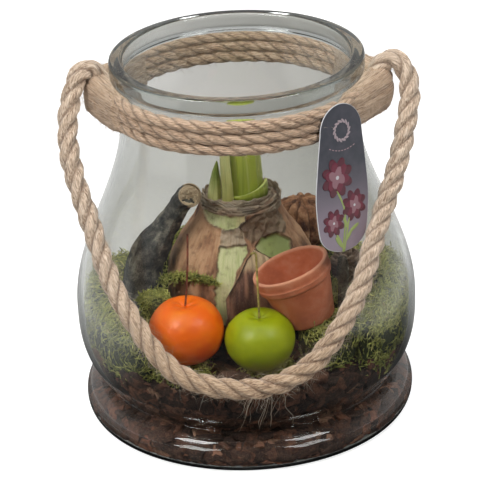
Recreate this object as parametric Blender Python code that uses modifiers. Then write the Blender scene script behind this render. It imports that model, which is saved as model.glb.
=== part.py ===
"""Amaryllis bulb planted in a jute-roped glass vase, with moss, bark, two apples and a small pot.

Metres, +Z up. The origin is the middle of the vase's flat underside. -Y is the front.
"""

import math

import bmesh
import bpy
from mathutils import Matrix, Vector, noise

MM = 0.001
GAP = 0.3 * MM

# Glass vase: heights and radii of the outer surface
BASE_RADIUS = 86.2 * MM
FOOT_RADIUS = 97.6 * MM
FOOT_HEIGHT = 21.4 * MM
WAIST_RADIUS = 84.1 * MM
BODY_RADIUS = 100.0 * MM
BODY_HEIGHT = 68.8 * MM
SHOULDER_RADIUS = 68.7 * MM
SHOULDER_HEIGHT = 174.0 * MM
NECK_RADIUS = 67.6 * MM
NECK_HEIGHT = 190.0 * MM
RIM_UNDERSIDE = 204.8 * MM
RIM_RADIUS = 72.8 * MM
RIM_MOUTH_RADIUS = 65.0 * MM
VASE_HEIGHT = 219.7 * MM
WALL = 3.2 * MM
FLOOR_THICKNESS = 4.5 * MM
FOOT_WALL = 4.0 * MM
FOOT_SQUARENESS = 0.55
VASE_STEPS = 44

# Collar cord and rope handle
CORD_RADIUS = 3.5 * MM
CORD_PITCH = 7.3 * MM
COLLAR_TURNS = 2.92
COLLAR_STEP = 0.08
COLLAR_TOP_ROW = 200.9 * MM
COLLAR_POINTS_PER_TURN = 48
NECK_CLEARANCE = 0.75 * MM
EAR_PLAY = 1.5 * MM
ROPE_RADIUS = 6.0 * MM
ROPE_END_RADIUS = 3.5 * MM
ROPE_TUCKED = 27 * MM
ROPE_SWELLING = 14 * MM
ROPE_POINTS = 66
LEFT_EAR = Vector((-74.6, 7.0)) * MM
RIGHT_EAR = Vector((75.2, -1.0)) * MM

# Planting
BED_TOP = 47.0 * MM
BULB_CENTRE = Vector((-2.0, 2.0, 0.0)) * MM
BULB_RADIUS = 43.0 * MM
BULB_FOOT = 40.0 * MM
BULB_TOP = 131.0 * MM
APPLE_DIMPLE = 4.0 * MM
APPLE_RINGS = 13
APPLE_STEPS = 20
ORANGE_CENTRE = Vector((-34.6, -60.0, 75.0)) * MM
ORANGE_SIZE = (21.5 * MM, 20.6 * MM)
GREEN_CENTRE = Vector((6.6, -67.8, 71.5)) * MM
GREEN_SIZE = (20.0 * MM, 19.0 * MM)
WIRE_RADIUS = 0.6 * MM
POT_FOOT = Vector((40.2, -52.0, 74.2)) * MM
POT_AXIS = Vector((-0.394, 0.084, 0.916)).normalized()
POT_HEIGHT = 37.0 * MM
POT_RIM_RADIUS = 21.0 * MM
POT_FOOT_RADIUS = 12.5 * MM
POT_BAND = 9.7 * MM

# Hang card, leaning on the collar and the glass
CARD_AZIMUTH = math.radians(-50)
CARD_SLOPE = 0.140
CARD_TURN = math.radians(-7)
CARD_TOP = 206.5 * MM
CARD_LENGTH = 86 * MM
CARD_THICKNESS = 0.7 * MM


def clear_scene():
    for obj in list(bpy.data.objects):
        bpy.data.objects.remove(obj, do_unlink=True)


def collection(name):
    made = bpy.data.collections.new(name)
    bpy.context.scene.collection.children.link(made)
    return made


def finish(name):
    """A material of the object's own, with its colour, roughness and metallic value."""
    colour, roughness, metallic = FINISHES[name]
    made = bpy.data.materials.new(name)
    made.use_nodes = True
    shader = made.node_tree.nodes["Principled BSDF"]
    shader.inputs["Base Color"].default_value = (*colour, 1)
    shader.inputs["Roughness"].default_value = roughness
    shader.inputs["Metallic"].default_value = metallic
    made.diffuse_color = (*colour, 1)
    return made


FINISHES = {
    "glass": ((0.62, 0.68, 0.66), 0.05, 0.0),
    "jute": ((0.48, 0.31, 0.19), 0.9, 0.0),
    "card": ((0.05, 0.05, 0.07), 0.5, 0.0),
    "mulch": ((0.10, 0.045, 0.03), 0.95, 0.0),
    "moss": ((0.12, 0.19, 0.04), 0.95, 0.0),
    "tunic": ((0.30, 0.17, 0.10), 0.75, 0.0),
    "leaf": ((0.30, 0.50, 0.12), 0.5, 0.0),
    "bark": ((0.09, 0.08, 0.06), 0.95, 0.0),
    "orange_skin": ((0.85, 0.22, 0.02), 0.3, 0.0),
    "green_skin": ((0.36, 0.48, 0.01), 0.3, 0.0),
    "red_wire": ((0.25, 0.08, 0.05), 0.6, 0.0),
    "olive_wire": ((0.45, 0.38, 0.08), 0.6, 0.0),
    "terracotta": ((0.50, 0.19, 0.10), 0.85, 0.0),
    "pod": ((0.36, 0.16, 0.07), 0.9, 0.0),
    "cone": ((0.12, 0.06, 0.04), 0.9, 0.0),
}


def smooth(share):
    share = min(1.0, max(0.0, share))
    return share * share * (3 - 2 * share)


def hermite(z, low, high):
    """The radius at z on a cubic between two knots of (height, radius, slope)."""
    span = high[0] - low[0]
    t = (z - low[0]) / span
    return (
        low[1] * (2 * t**3 - 3 * t**2 + 1)
        + low[2] * span * (t**3 - 2 * t**2 + t)
        + high[1] * (3 * t**2 - 2 * t**3)
        + high[2] * span * (t**3 - t**2)
    )


BODY_KNOTS = (
    (FOOT_HEIGHT, WAIST_RADIUS, 1.0),
    (BODY_HEIGHT, BODY_RADIUS, 0.0),
    (SHOULDER_HEIGHT, SHOULDER_RADIUS, -0.12),
    (NECK_HEIGHT, NECK_RADIUS, 0.0),
)


def body_radius(z):
    """Outer radius of the glass between the waist and the rim."""
    for low, high in zip(BODY_KNOTS, BODY_KNOTS[1:]):
        if z <= high[0]:
            return hermite(max(z, low[0]), low, high)
    return NECK_RADIUS


def foot_curve(share, low, high, bottom, top, swell):
    """A point of the rolled foot, from its bottom edge at 0 to the waist at 1."""
    radius = low + (high - low) * share + swell * math.sin(math.pi * share) ** FOOT_SQUARENESS
    return radius, bottom + (top - bottom) * (1 - math.cos(math.pi * share)) / 2


def foot_outer(share):
    swell = FOOT_RADIUS - (BASE_RADIUS + WAIST_RADIUS) / 2
    return foot_curve(share, BASE_RADIUS, WAIST_RADIUS, 0, FOOT_HEIGHT, swell)


def foot_inner(share, clearance=0.0):
    """A point of the hollow inside the rolled foot, or of what fills it with a clearance."""
    low = BASE_RADIUS - FOOT_WALL - clearance
    high = WAIST_RADIUS - WALL - clearance
    swell = FOOT_RADIUS - FOOT_WALL - clearance - (low + high) / 2
    bottom = FLOOR_THICKNESS + clearance
    return foot_curve(share, low, high, bottom, FOOT_HEIGHT - WALL - clearance, swell)


def inner_radius(z):
    """Inner radius of the glass above the waist."""
    return body_radius(z) - WALL


def body_heights():
    """Heights of the vase's profile points above the foot, closer together near the waist."""
    return [FOOT_HEIGHT + (NECK_HEIGHT - FOOT_HEIGHT) * (i / 12) ** 1.5 for i in range(13)]


def link(obj, material, smooth_angle=40):
    if obj.name not in PARTS.objects:
        PARTS.objects.link(obj)
    for other in list(obj.users_collection):
        if other is not PARTS:
            other.objects.unlink(obj)
    obj.data.materials.clear()
    obj.data.materials.append(finish(material))
    obj.data.materials[0].name = obj.name
    if obj.type == "MESH":
        obj.data.shade_smooth()
        obj.data.set_sharp_from_angle(angle=math.radians(smooth_angle))
    return obj


def turned(name, profile, steps, material, centre=(0, 0, 0)):
    """A turned piece: its profile of (radius, height) runs down its outer side."""
    mesh = bpy.data.meshes.new(name)
    mesh.from_pydata([(r, 0, z) for r, z in profile], [(i, i + 1) for i in range(len(profile) - 1)], [])
    obj = bpy.data.objects.new(name, mesh)
    obj.location = centre
    screw = obj.modifiers.new("turn", "SCREW")
    screw.steps = screw.render_steps = steps
    screw.use_merge_vertices = True
    screw.merge_threshold = 1e-5
    screw.use_smooth_shade = True
    return link(obj, material)


def tube(name, points, radius, material, sharpness=2, scales=None):
    """A rod along the points, with flat caps, and a share of its radius at each point."""
    curve = bpy.data.curves.new(name, "CURVE")
    curve.dimensions = "3D"
    curve.bevel_depth = radius
    curve.bevel_resolution = sharpness
    curve.use_fill_caps = True
    spline = curve.splines.new("POLY")
    spline.points.add(len(points) - 1)
    for i, (point, place) in enumerate(zip(spline.points, points)):
        point.co = (*place, 1)
        point.radius = scales[i] if scales else 1.0
    return link(bpy.data.objects.new(name, curve), material)


def round_off(vector, squareness):
    """A point of the unit sphere pushed out towards a box, and 1 keeps the sphere."""
    return Vector(math.copysign(abs(v) ** s, v) for v, s in zip(vector, squareness))


def ball(name, shape, material, segments=14, rings=8):
    """A closed form: every point of a unit sphere goes where shape sends it."""
    mesh = bpy.data.meshes.new(name)
    bm = bmesh.new()
    bmesh.ops.create_uvsphere(bm, u_segments=segments, v_segments=rings, radius=1)
    for vertex in bm.verts:
        vertex.co = shape(vertex.co.copy())
    bm.to_mesh(mesh)
    bm.free()
    return link(bpy.data.objects.new(name, mesh), material, smooth_angle=60)


def lump(name, centre, half, material, squareness=(0.8, 0.8, 0.6), turn=(0, 0, 0), rough=0.0,
         floor=None, segments=14, rings=8):
    """A rounded natural lump, given by its centre, its half sizes and its turn in degrees."""
    rotation = Matrix.Rotation(math.radians(turn[2]), 3, "Z")
    rotation = rotation @ Matrix.Rotation(math.radians(turn[1]), 3, "Y")
    rotation = rotation @ Matrix.Rotation(math.radians(turn[0]), 3, "X")

    def shape(point):
        swell = 1 - rough * (0.5 + 0.5 * noise.noise(point * 1.7 + Vector(centre) * 300))
        place = round_off(point, squareness) * swell
        place = rotation @ Vector(p * h for p, h in zip(place, half)) + Vector(centre)
        if floor is not None:
            place.z = max(place.z, floor)
        return place

    return ball(name, shape, material, segments, rings)


def wall_cushion(name, start, end, top, depth, material):
    """Moss pressed against the glass, from one azimuth to another in degrees."""
    floor = BED_TOP + GAP

    def shape(point):
        u, v, w = round_off(point, (0.75, 0.6, 0.4))
        azimuth = math.radians((start + end) / 2 - u * (end - start) / 2)
        height = floor + (w + 1) / 2 * (top - floor)
        slope = 0.55 + 0.45 * (1 - (w + 1) / 2)
        lumpiness = 1 + 0.10 * noise.noise(Vector((azimuth * 3, w, v)))
        radius = inner_radius(height) - 2 * GAP - (1 - v) / 2 * depth * slope * lumpiness
        return Vector((radius * math.cos(azimuth), radius * math.sin(azimuth), height))

    return ball(name, shape, material, segments=20, rings=10)


def make_vase():
    profile = [(0, FLOOR_THICKNESS)]
    profile += [foot_inner(i / 8) for i in range(9)]
    heights = body_heights()
    profile += [(inner_radius(z), z) for z in heights]
    middle = (RIM_UNDERSIDE + VASE_HEIGHT) / 2
    profile += [
        (NECK_RADIUS - WALL, RIM_UNDERSIDE),
        (RIM_MOUTH_RADIUS, middle),
        (RIM_MOUTH_RADIUS + 1.4 * MM, VASE_HEIGHT - 1.2 * MM),
        (RIM_MOUTH_RADIUS + 3.4 * MM, VASE_HEIGHT),
        (RIM_RADIUS - 2.8 * MM, VASE_HEIGHT - 0.5 * MM),
        (RIM_RADIUS - 0.6 * MM, VASE_HEIGHT - 3.2 * MM),
        (RIM_RADIUS, middle + MM),
        (RIM_RADIUS - 0.5 * MM, RIM_UNDERSIDE + 2.4 * MM),
        (RIM_RADIUS - 2.4 * MM, RIM_UNDERSIDE),
        (NECK_RADIUS, RIM_UNDERSIDE - 0.2 * MM),
    ]
    profile += [(body_radius(z), z) for z in reversed(heights)]
    profile += [foot_outer(1 - i / 10) for i in range(1, 11)]
    profile.append((0, 0))
    return turned("glass_vase", profile, VASE_STEPS, "glass")


def string_round(circles, count):
    """A closed line pulled tight round circles of (x, y, radius), from the back, anticlockwise."""
    line = []
    for i in range(count):
        angle = math.pi / 2 + 2 * math.pi * i / count
        facing = Vector((math.cos(angle), math.sin(angle)))
        x, y, radius = max(circles, key=lambda c: facing.x * c[0] + facing.y * c[1] + c[2])
        line.append(Vector((x, y)) + facing * radius)
    return line


def spaced(points, count):
    """The line again, with count points evenly along it."""
    along = [0.0]
    for a, b in zip(points, points[1:]):
        along.append(along[-1] + (b - a).length)
    line, k = [], 0
    for i in range(count):
        at = along[-1] * i / (count - 1)
        while k < len(points) - 2 and along[k + 1] < at:
            k += 1
        share = (at - along[k]) / (along[k + 1] - along[k])
        line.append(points[k].lerp(points[k + 1], min(1.0, share)))
    return line


def collar_route():
    """Level turns round the neck and both rope ends, each stepping up a row at the back."""
    round_rope = ROPE_END_RADIUS + CORD_RADIUS + EAR_PLAY
    circles = [(0, 0, NECK_RADIUS + CORD_RADIUS + NECK_CLEARANCE)]
    circles += [(ear.x, ear.y, round_rope) for ear in (LEFT_EAR, RIGHT_EAR)]
    turn = string_round(circles, COLLAR_POINTS_PER_TURN)
    first_row = COLLAR_TOP_ROW - 2 * CORD_PITCH
    route = []
    for i in range(int(COLLAR_TURNS * COLLAR_POINTS_PER_TURN) + 1):
        row, share = divmod(i / COLLAR_POINTS_PER_TURN, 1)
        climb = row + smooth((share - 1 + COLLAR_STEP) / COLLAR_STEP)
        place = turn[i % COLLAR_POINTS_PER_TURN]
        route.append(Vector((place.x, place.y, first_row + climb * CORD_PITCH)))
    return route


def smooth_route(points, count):
    """One smooth curve through the points, as count points evenly along it."""
    ends = [points[0] * 2 - points[1], *points, points[-1] * 2 - points[-2]]
    fine = []
    for a, b, c, d in zip(ends, ends[1:], ends[2:], ends[3:]):
        for i in range(12):
            t = i / 12
            fine.append(
                0.5 * (2 * b + (c - a) * t + (2 * a - 5 * b + 4 * c - d) * t**2
                       + (3 * b - a - 3 * c + d) * t**3)
            )
    return spaced([*fine, points[-1]], count)


# The handle's route in millimetres, from inside the left of the collar to inside the right
HANDLE_ROUTE = (
    (-74.6, 7.0, 184.0), (-74.6, 7.0, 193.0), (-74.7, 7.0, 201.0), (-78.2, 6.4, 206.9),
    (-83.9, 4.4, 211.6), (-89.8, 0.6, 209.6), (-93.4, -4.6, 202.4), (-95.8, -10.4, 194.0),
    (-97.2, -17.6, 183.4), (-96.4, -25.2, 173.0), (-92.8, -35.6, 158.4), (-87.0, -46.6, 143.2),
    (-81.0, -58.6, 126.0), (-74.6, -69.8, 110.6), (-66.4, -80.0, 97.6), (-54.4, -91.4, 81.6),
    (-42.3, -99.2, 70.2), (-28.5, -103.6, 64.2), (-13.4, -106.0, 61.2), (0.0, -106.6, 60.6),
    (13.0, -105.9, 62.2), (25.4, -103.5, 66.4), (37.0, -99.8, 73.4), (47.6, -93.8, 83.8),
    (56.4, -86.0, 95.4), (64.8, -75.0, 108.2), (72.4, -61.0, 125.6), (78.6, -49.4, 139.4),
    (84.6, -40.2, 152.4), (90.0, -30.8, 165.6), (94.2, -20.8, 179.4), (97.0, -12.8, 190.6),
    (97.2, -6.6, 200.0), (94.2, -2.6, 207.8), (88.6, -0.8, 211.7), (83.0, -0.9, 210.3),
    (78.6, -1.0, 206.3), (75.4, -1.0, 200.6), (75.2, -1.0, 192.8), (75.2, -1.0, 184.0),
)


def make_ropes():
    tube("collar_cord", collar_route(), CORD_RADIUS, "jute")
    route = smooth_route([Vector(p) * MM for p in HANDLE_ROUTE], ROPE_POINTS)
    step = (route[1] - route[0]).length
    scales = []
    for i in range(ROPE_POINTS):
        from_end = min(i, ROPE_POINTS - 1 - i) * step
        share = smooth((from_end - ROPE_TUCKED) / ROPE_SWELLING)
        scales.append((ROPE_END_RADIUS + (ROPE_RADIUS - ROPE_END_RADIUS) * share) / ROPE_RADIUS)
    tube("rope_handle", route, ROPE_RADIUS, "jute", scales=scales)


def card_outline():
    """Half widths down the card: a round top, gently widening sides and a rounded foot."""
    top = 15.4 * MM
    side = [(top * math.sin(a), top * (1 - math.cos(a))) for a in (math.pi / 2 * i / 7 for i in range(8))]
    side += [(17.6 * MM, 32 * MM), (19.4 * MM, 50 * MM), (18.9 * MM, 60 * MM)]
    foot, width = CARD_LENGTH, 17.2 * MM
    for i in range(5):
        angle = math.pi / 2 * i / 5
        side.append((width * math.cos(angle) ** 0.8, foot - 16 * MM * (1 - math.sin(angle))))
    right = [(x, -y) for x, y in side]
    return right + [(0, -foot)] + [(-x, y) for x, y in reversed(right[1:])]


def make_card():
    curve = bpy.data.curves.new("hang_card", "CURVE")
    curve.dimensions = "2D"
    curve.fill_mode = "BOTH"
    curve.extrude = CARD_THICKNESS / 2
    outline = card_outline()
    spline = curve.splines.new("POLY")
    spline.points.add(len(outline) - 1)
    for point, (x, y) in zip(spline.points, outline):
        point.co = (x, y, 0, 1)
    spline.use_cyclic_u = True
    obj = bpy.data.objects.new("hang_card", curve)
    outward = Vector((math.cos(CARD_AZIMUTH), math.sin(CARD_AZIMUTH), 0))
    facing = (outward + Vector((0, 0, CARD_SLOPE))).normalized()
    across = Vector((-math.sin(CARD_AZIMUTH), math.cos(CARD_AZIMUTH), 0))
    up = facing.cross(across)
    collar_outside = NECK_RADIUS + NECK_CLEARANCE + 2 * CORD_RADIUS + GAP + CARD_THICKNESS / 2
    seat = outward * collar_outside + Vector((0, 0, COLLAR_TOP_ROW))
    middle = seat + up * (CARD_TOP - COLLAR_TOP_ROW) + across * 7.0 * MM + facing * 0.1 * MM
    axes = Matrix((across, up, facing)).transposed().to_4x4()
    obj.matrix_world = Matrix.Translation(middle) @ axes @ Matrix.Rotation(CARD_TURN, 4, "Z")
    return link(obj, "card")


BULB_OUTLINE = (
    (0.30, 1.0), (0.50, 0.996), (0.545, 0.925), (0.62, 0.845), (0.74, 0.76), (0.87, 0.665),
    (0.965, 0.56), (1.0, 0.45), (0.985, 0.33), (0.92, 0.21), (0.80, 0.11), (0.60, 0.03), (0.30, 0.0),
)


def bulb_profile(clearance=0.0):
    height = BULB_TOP - BULB_FOOT
    profile = [(0, BULB_TOP + clearance)]
    for r, z in BULB_OUTLINE:
        profile.append((r * BULB_RADIUS + clearance, BULB_FOOT + z * height + clearance * (2 * z - 1)))
    return [*profile, (0, BULB_FOOT - clearance)]


def bulb_radius(z):
    """Outer radius of the bulb at a height."""
    profile = bulb_profile()[1:-1]
    for (r_high, z_high), (r_low, z_low) in zip(profile, profile[1:]):
        if z >= z_low:
            return r_low + (r_high - r_low) * (z - z_low) / (z_high - z_low)
    return 0.0


def make_bed():
    """Bark mulch that fills the foot, with a round hollow for the bulb."""
    wall = 2 * GAP
    heights = [z for z in body_heights() if z < BED_TOP]
    profile = [(0, BED_TOP), (60 * MM, BED_TOP), (inner_radius(BED_TOP) - wall - GAP, BED_TOP)]
    profile += [(inner_radius(z) - wall, z) for z in reversed(heights)]
    profile += [foot_inner(1 - i / 8, wall) for i in range(9)]
    profile.append((0, FLOOR_THICKNESS + wall))
    bed = turned("bark_mulch", profile, VASE_STEPS, "mulch")
    cutter = turned("bulb_hollow", bulb_profile(GAP), 28, "mulch", BULB_CENTRE)
    PARTS.objects.unlink(cutter)
    CUTTERS.objects.link(cutter)
    cutter.hide_render = True
    cutter.display_type = "WIRE"
    cut = bed.modifiers.new("bulb_hollow", "BOOLEAN")
    cut.operation = "DIFFERENCE"
    cut.object = cutter


def make_bulb():
    turned("bulb", bulb_profile(), 28, "tunic", BULB_CENTRE)
    make_flap()


def make_flap():
    """A dry scale that has peeled off the front of the bulb, as a thin curved triangle."""
    mesh = bpy.data.meshes.new("bulb_flap")
    bm = bmesh.new()
    bmesh.ops.create_grid(bm, x_segments=5, y_segments=7, size=1)
    low, high = 62 * MM, 108 * MM
    for vertex in bm.verts:
        u, v = vertex.co.x, (vertex.co.y + 1) / 2
        width = math.radians(5 + 17 * (1 - v))
        azimuth = math.radians(-78 - 9 * (1 - v)) + u * width
        height = low + (high - low) * v
        lift = (0.8 + 1.2 * (1 - v) + 0.8 * u * u) * MM
        radius = bulb_radius(height) + lift
        vertex.co = (radius * math.cos(azimuth), radius * math.sin(azimuth), height)
    bmesh.ops.recalc_face_normals(bm, faces=bm.faces)
    bm.to_mesh(mesh)
    bm.free()
    obj = bpy.data.objects.new("bulb_flap", mesh)
    obj.location = BULB_CENTRE
    skin = obj.modifiers.new("skin", "SOLIDIFY")
    skin.thickness = 0.6 * MM
    skin.offset = 0
    link(obj, "tunic")


def sprout(name, centre, half, lean, tip, material="leaf"):
    """A leaf or stalk that stands on the bulb's neck and narrows to a share of itself."""
    foot = BULB_TOP + GAP

    def shape(point):
        x, y, z = round_off(point, (0.75, 0.75, 0.5))
        share = (z + 1) / 2
        narrow = 1 - (1 - tip) * share**1.6
        place = Vector((x * half[0] * narrow, y * half[1] * narrow, share * 2 * half[2]))
        return place + Vector((centre[0] + lean * share, centre[1], foot))

    return ball(name, shape, material, segments=12, rings=8)


def make_shoots():
    sprout("flower_shoot", (0.2 * MM, 1 * MM), (10.8 * MM, 7 * MM, 26.4 * MM), -1.0 * MM, 0.88)
    sprout("leaf_left", (-16.0 * MM, -1 * MM), (3.6 * MM, 5 * MM, 11.5 * MM), 2.2 * MM, 0.15)
    sprout("leaf_narrow", (-7.4 * MM, -10.2 * MM), (3.6 * MM, 2.4 * MM, 17 * MM), -2.0 * MM, 0.7)
    sprout("leaf_right", (14.4 * MM, -1 * MM), (2.4 * MM, 6 * MM, 5.4 * MM), 0.4 * MM, 0.6)


def apple_profile(radius, half_height):
    """A round apple with a dimple at its top and a shallow one underneath."""
    profile = []
    for i in range(APPLE_RINGS + 1):
        angle = math.pi * i / APPLE_RINGS
        r = radius * max(0.0, math.sin(angle)) ** 0.92
        height = half_height * math.cos(angle)
        near = math.exp(-((r / (0.30 * radius)) ** 2))
        dimple = APPLE_DIMPLE * (1.0 if angle < math.pi / 2 else -0.5)
        profile.append((0.0 if i in (0, APPLE_RINGS) else r, height - dimple * near))
    return profile


def apple_foot(centre, size):
    """The lowest height that an apple reaches."""
    return centre.z + min(height for _, height in apple_profile(*size))


def make_apples():
    turned("orange_apple", apple_profile(*ORANGE_SIZE), APPLE_STEPS, "orange_skin", ORANGE_CENTRE)
    turned("green_apple", apple_profile(*GREEN_SIZE), APPLE_STEPS, "green_skin", GREEN_CENTRE)
    seat = ORANGE_CENTRE + Vector((0, 0, ORANGE_SIZE[1] - APPLE_DIMPLE + GAP))
    rise = Vector((3.4, 1.2, 43.0)) * MM
    bow = Vector((0.5, 0, 0)) * MM
    line = [seat + rise * (i / 8) + bow * math.sin(math.pi * i / 8) for i in range(9)]
    tube("orange_wire", line, WIRE_RADIUS, "red_wire")
    seat = GREEN_CENTRE + Vector((0, 0, GREEN_SIZE[1] - APPLE_DIMPLE + GAP))
    line = [seat + Vector((-0.4 * i / 6, 0, 36.0 * i / 6)) * MM for i in range(7)]
    hook = seat + Vector((-1.9, 0, 37.4)) * MM
    line += [hook + Vector((1.5 * math.cos(a), 0, 1.5 * math.sin(a))) * MM for a in (0.3, 1.2, 2.1, 3.0)]
    tube("green_wire", line, WIRE_RADIUS, "olive_wire")


def make_pot():
    """A small flower pot with a banded rim, tipped on the moss."""
    wall = 2.2 * MM
    band_foot = POT_HEIGHT - POT_BAND
    slope = (POT_RIM_RADIUS - 2.2 * MM - POT_FOOT_RADIUS) / band_foot
    profile = [
        (0, 3 * MM),
        (POT_FOOT_RADIUS - wall, 3 * MM),
        (POT_RIM_RADIUS - wall - 0.4 * MM, POT_HEIGHT - MM),
        (POT_RIM_RADIUS - wall, POT_HEIGHT),
        (POT_RIM_RADIUS - 0.5 * MM, POT_HEIGHT),
        (POT_RIM_RADIUS, POT_HEIGHT - 0.7 * MM),
        (POT_RIM_RADIUS - 0.7 * MM, band_foot + 0.5 * MM),
        (POT_RIM_RADIUS - 1.1 * MM, band_foot),
        (POT_FOOT_RADIUS + slope * band_foot, band_foot - 0.3 * MM),
        (POT_FOOT_RADIUS + 0.5 * MM, 0.8 * MM),
        (POT_FOOT_RADIUS, 0),
        (0, 0),
    ]
    pot = turned("terracotta_pot", profile, 24, "terracotta", POT_FOOT)
    pot.rotation_mode = "QUATERNION"
    pot.rotation_quaternion = POT_AXIS.to_track_quat("Z", "Y")


def make_stick():
    """An elbowed branch: upright at its foot, then leaning to a narrow cut end."""
    route = (
        (-62.5, -15.0, 47.4), (-62.2, -15.0, 60.0), (-61.4, -14.6, 74.0), (-60.0, -13.6, 88.0),
        (-56.0, -12.6, 100.0), (-49.6, -12.2, 111.0), (-41.4, -12.4, 122.0), (-34.4, -13.2, 131.0),
        (-28.0, -14.2, 139.6),
    )
    scales = (1.0, 1.0, 1.0, 0.98, 0.94, 0.86, 0.74, 0.62, 0.53)
    points = [Vector(p) * MM for p in route]
    tube("bark_stick", points, 12 * MM, "bark", scales=list(scales))
    lump("bark_strip", Vector((55.4, -36.4, 76.0)) * MM, Vector((3.6, 1.4, 32.0)) * MM, "bark",
         squareness=(0.5, 0.6, 0.3), rough=0.12, floor=BED_TOP + GAP, segments=10, rings=8)


def make_pod():
    """A dry pod with upright ribs and a scalloped top."""
    centre = Vector((36.0, 48.0, 0.0)) * MM
    foot, height, radius = 75.3 * MM, 32 * MM, 17 * MM

    def shape(point):
        x, y, z = round_off(point, (1, 1, 0.7))
        angle = math.atan2(point.y, point.x)
        rib = 1 + 0.06 * math.cos(12 * angle) * math.hypot(point.x, point.y)
        return Vector((x * radius * rib, y * radius * rib, foot + (z + 1) / 2 * height)) + centre

    ball("ribbed_pod", shape, "pod", segments=24, rings=8)
    lump("small_cone", Vector((59.0, -21.0, 91.6)) * MM, Vector((9.5, 9.5, 12.8)) * MM, "cone",
         squareness=(0.9, 0.9, 0.8), rough=0.1, floor=79.9 * MM)


def make_moss():
    floor = BED_TOP + GAP
    orange_seat = (apple_foot(ORANGE_CENTRE, ORANGE_SIZE) - GAP) / MM
    green_seat = (apple_foot(GREEN_CENTRE, GREEN_SIZE) - GAP) / MM
    wall_cushion("moss_left", 146, 228, 77 * MM, 19 * MM, "moss")
    wall_cushion("moss_right", -43, 26, 80 * MM, 14 * MM, "moss")
    wall_cushion("moss_back", 32, 140, 75 * MM, 34 * MM, "moss")
    pads = {
        "moss_tuft": ((-52.0, -38.5), (10.0, 6.0), 90.0, 35),
        "moss_orange_seat": ((-38.5, -60.0), (16.5, 16.0), orange_seat, 0),
        "moss_green_seat": ((10.0, -64.5), (14.0, 12.0), green_seat, 0),
        "moss_cone_seat": ((61.0, -18.0), (12.0, 14.5), 79.6, 0),
    }
    for name, ((x, y), (wide, deep), top, turn) in pads.items():
        middle = Vector((x * MM, y * MM, (floor + top * MM) / 2))
        half = Vector((wide * MM, deep * MM, (top * MM - floor) / 2))
        lump(name, middle, half, "moss", squareness=(0.8, 0.8, 0.35), turn=(0, 0, turn), floor=floor)
    thickness = 13 * MM
    middle = POT_FOOT - POT_AXIS * (thickness + GAP)
    tip = math.degrees(math.atan2(POT_AXIS.x, POT_AXIS.z))
    lump("moss_pot_seat", middle, Vector((15 * MM, 15 * MM, thickness)), "moss",
         squareness=(0.8, 0.8, 0.35), turn=(-5.2, tip, 0), floor=floor)


def make_chips():
    """Bark chips that lie loose on the mulch along the front."""
    chips = (
        ((-9.0, -81.0, 52.6), (10.5, 4.2, 5.6), -6),
        ((15.0, -84.6, 50.4), (9.5, 4.2, 3.4), 10),
        ((-30.0, -82.8, 50.4), (8.5, 3.8, 3.4), -20),
        ((35.4, -77.0, 50.4), (9.0, 4.4, 3.4), 25),
    )
    for i, (centre, half, turn) in enumerate(chips, 1):
        lump(f"bark_chip_{i}", Vector(centre) * MM, Vector(half) * MM, "bark",
             squareness=(0.5, 0.5, 0.4), turn=(0, 0, turn), rough=0.1, floor=BED_TOP + GAP,
             segments=10, rings=6)


clear_scene()
PARTS = collection("amaryllis_in_glass_vase")
CUTTERS = collection("cutters")
make_vase()
make_ropes()
make_card()
make_bed()
make_moss()
make_bulb()
make_shoots()
make_stick()
make_apples()
make_pot()
make_pod()
make_chips()
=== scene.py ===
# Looks of the amaryllis planting: glass, jute, bulb, moss, bark, apples, clay pot and card.
# Metres, +Z up, -Y is the front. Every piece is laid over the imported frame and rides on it.

import math

import bpy
import numpy as np
from mathutils import Matrix, Vector


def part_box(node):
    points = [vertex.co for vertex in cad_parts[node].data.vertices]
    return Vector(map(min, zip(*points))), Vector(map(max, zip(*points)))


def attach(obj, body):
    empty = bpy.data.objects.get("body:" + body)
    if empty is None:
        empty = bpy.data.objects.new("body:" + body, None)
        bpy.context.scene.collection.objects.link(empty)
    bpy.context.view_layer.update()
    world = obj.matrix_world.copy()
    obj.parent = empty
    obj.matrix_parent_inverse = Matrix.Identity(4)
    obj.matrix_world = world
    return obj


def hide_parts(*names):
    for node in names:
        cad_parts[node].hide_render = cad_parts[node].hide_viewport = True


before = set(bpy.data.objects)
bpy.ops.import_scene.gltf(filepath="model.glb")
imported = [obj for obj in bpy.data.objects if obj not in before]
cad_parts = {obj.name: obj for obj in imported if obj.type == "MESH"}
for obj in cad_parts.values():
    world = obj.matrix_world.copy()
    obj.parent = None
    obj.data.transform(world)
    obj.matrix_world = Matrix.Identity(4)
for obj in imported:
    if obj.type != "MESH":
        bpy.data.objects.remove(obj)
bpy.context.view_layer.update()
full = 2 * math.pi


# camera

view = dict(
    lens=182.7,  # millimetres on a 36 mm sensor
    away=1.432,
    lift=math.radians(25.258),
    lean=math.radians(2.447),
    aim=(-0.0026, 0.095, 0.0062),  # to the right, height of the middle, up in the picture
)


def placeCamera():
    back = np.array([0, -math.cos(view["lift"]), math.sin(view["lift"])])
    right = np.array([1.0, 0, 0])
    up = np.cross(back, right)
    across = right * math.cos(view["lean"]) - up * math.sin(view["lean"])
    upright = right * math.sin(view["lean"]) + up * math.cos(view["lean"])
    toRight, middle, toTop = view["aim"]
    place = np.array([0, 0, middle]) + across * toRight + upright * toTop + back * view["away"]
    lens = bpy.data.cameras.new("camera")
    lens.lens = view["lens"]
    lens.sensor_width = 36
    camera = bpy.data.objects.new("camera", lens)
    turn = Matrix((across, upright, back)).transposed().to_4x4()
    camera.matrix_world = Matrix.Translation(Vector(place)) @ turn
    bpy.context.scene.collection.objects.link(camera)
    bpy.context.scene.camera = camera


placeCamera()
print("camera placed")


# number helpers: everything works on whole arrays

def ease(value):  # 0 to 1 with a soft start and a soft end
    value = np.clip(value, 0, 1)
    return value * value * (3 - 2 * value)


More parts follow.
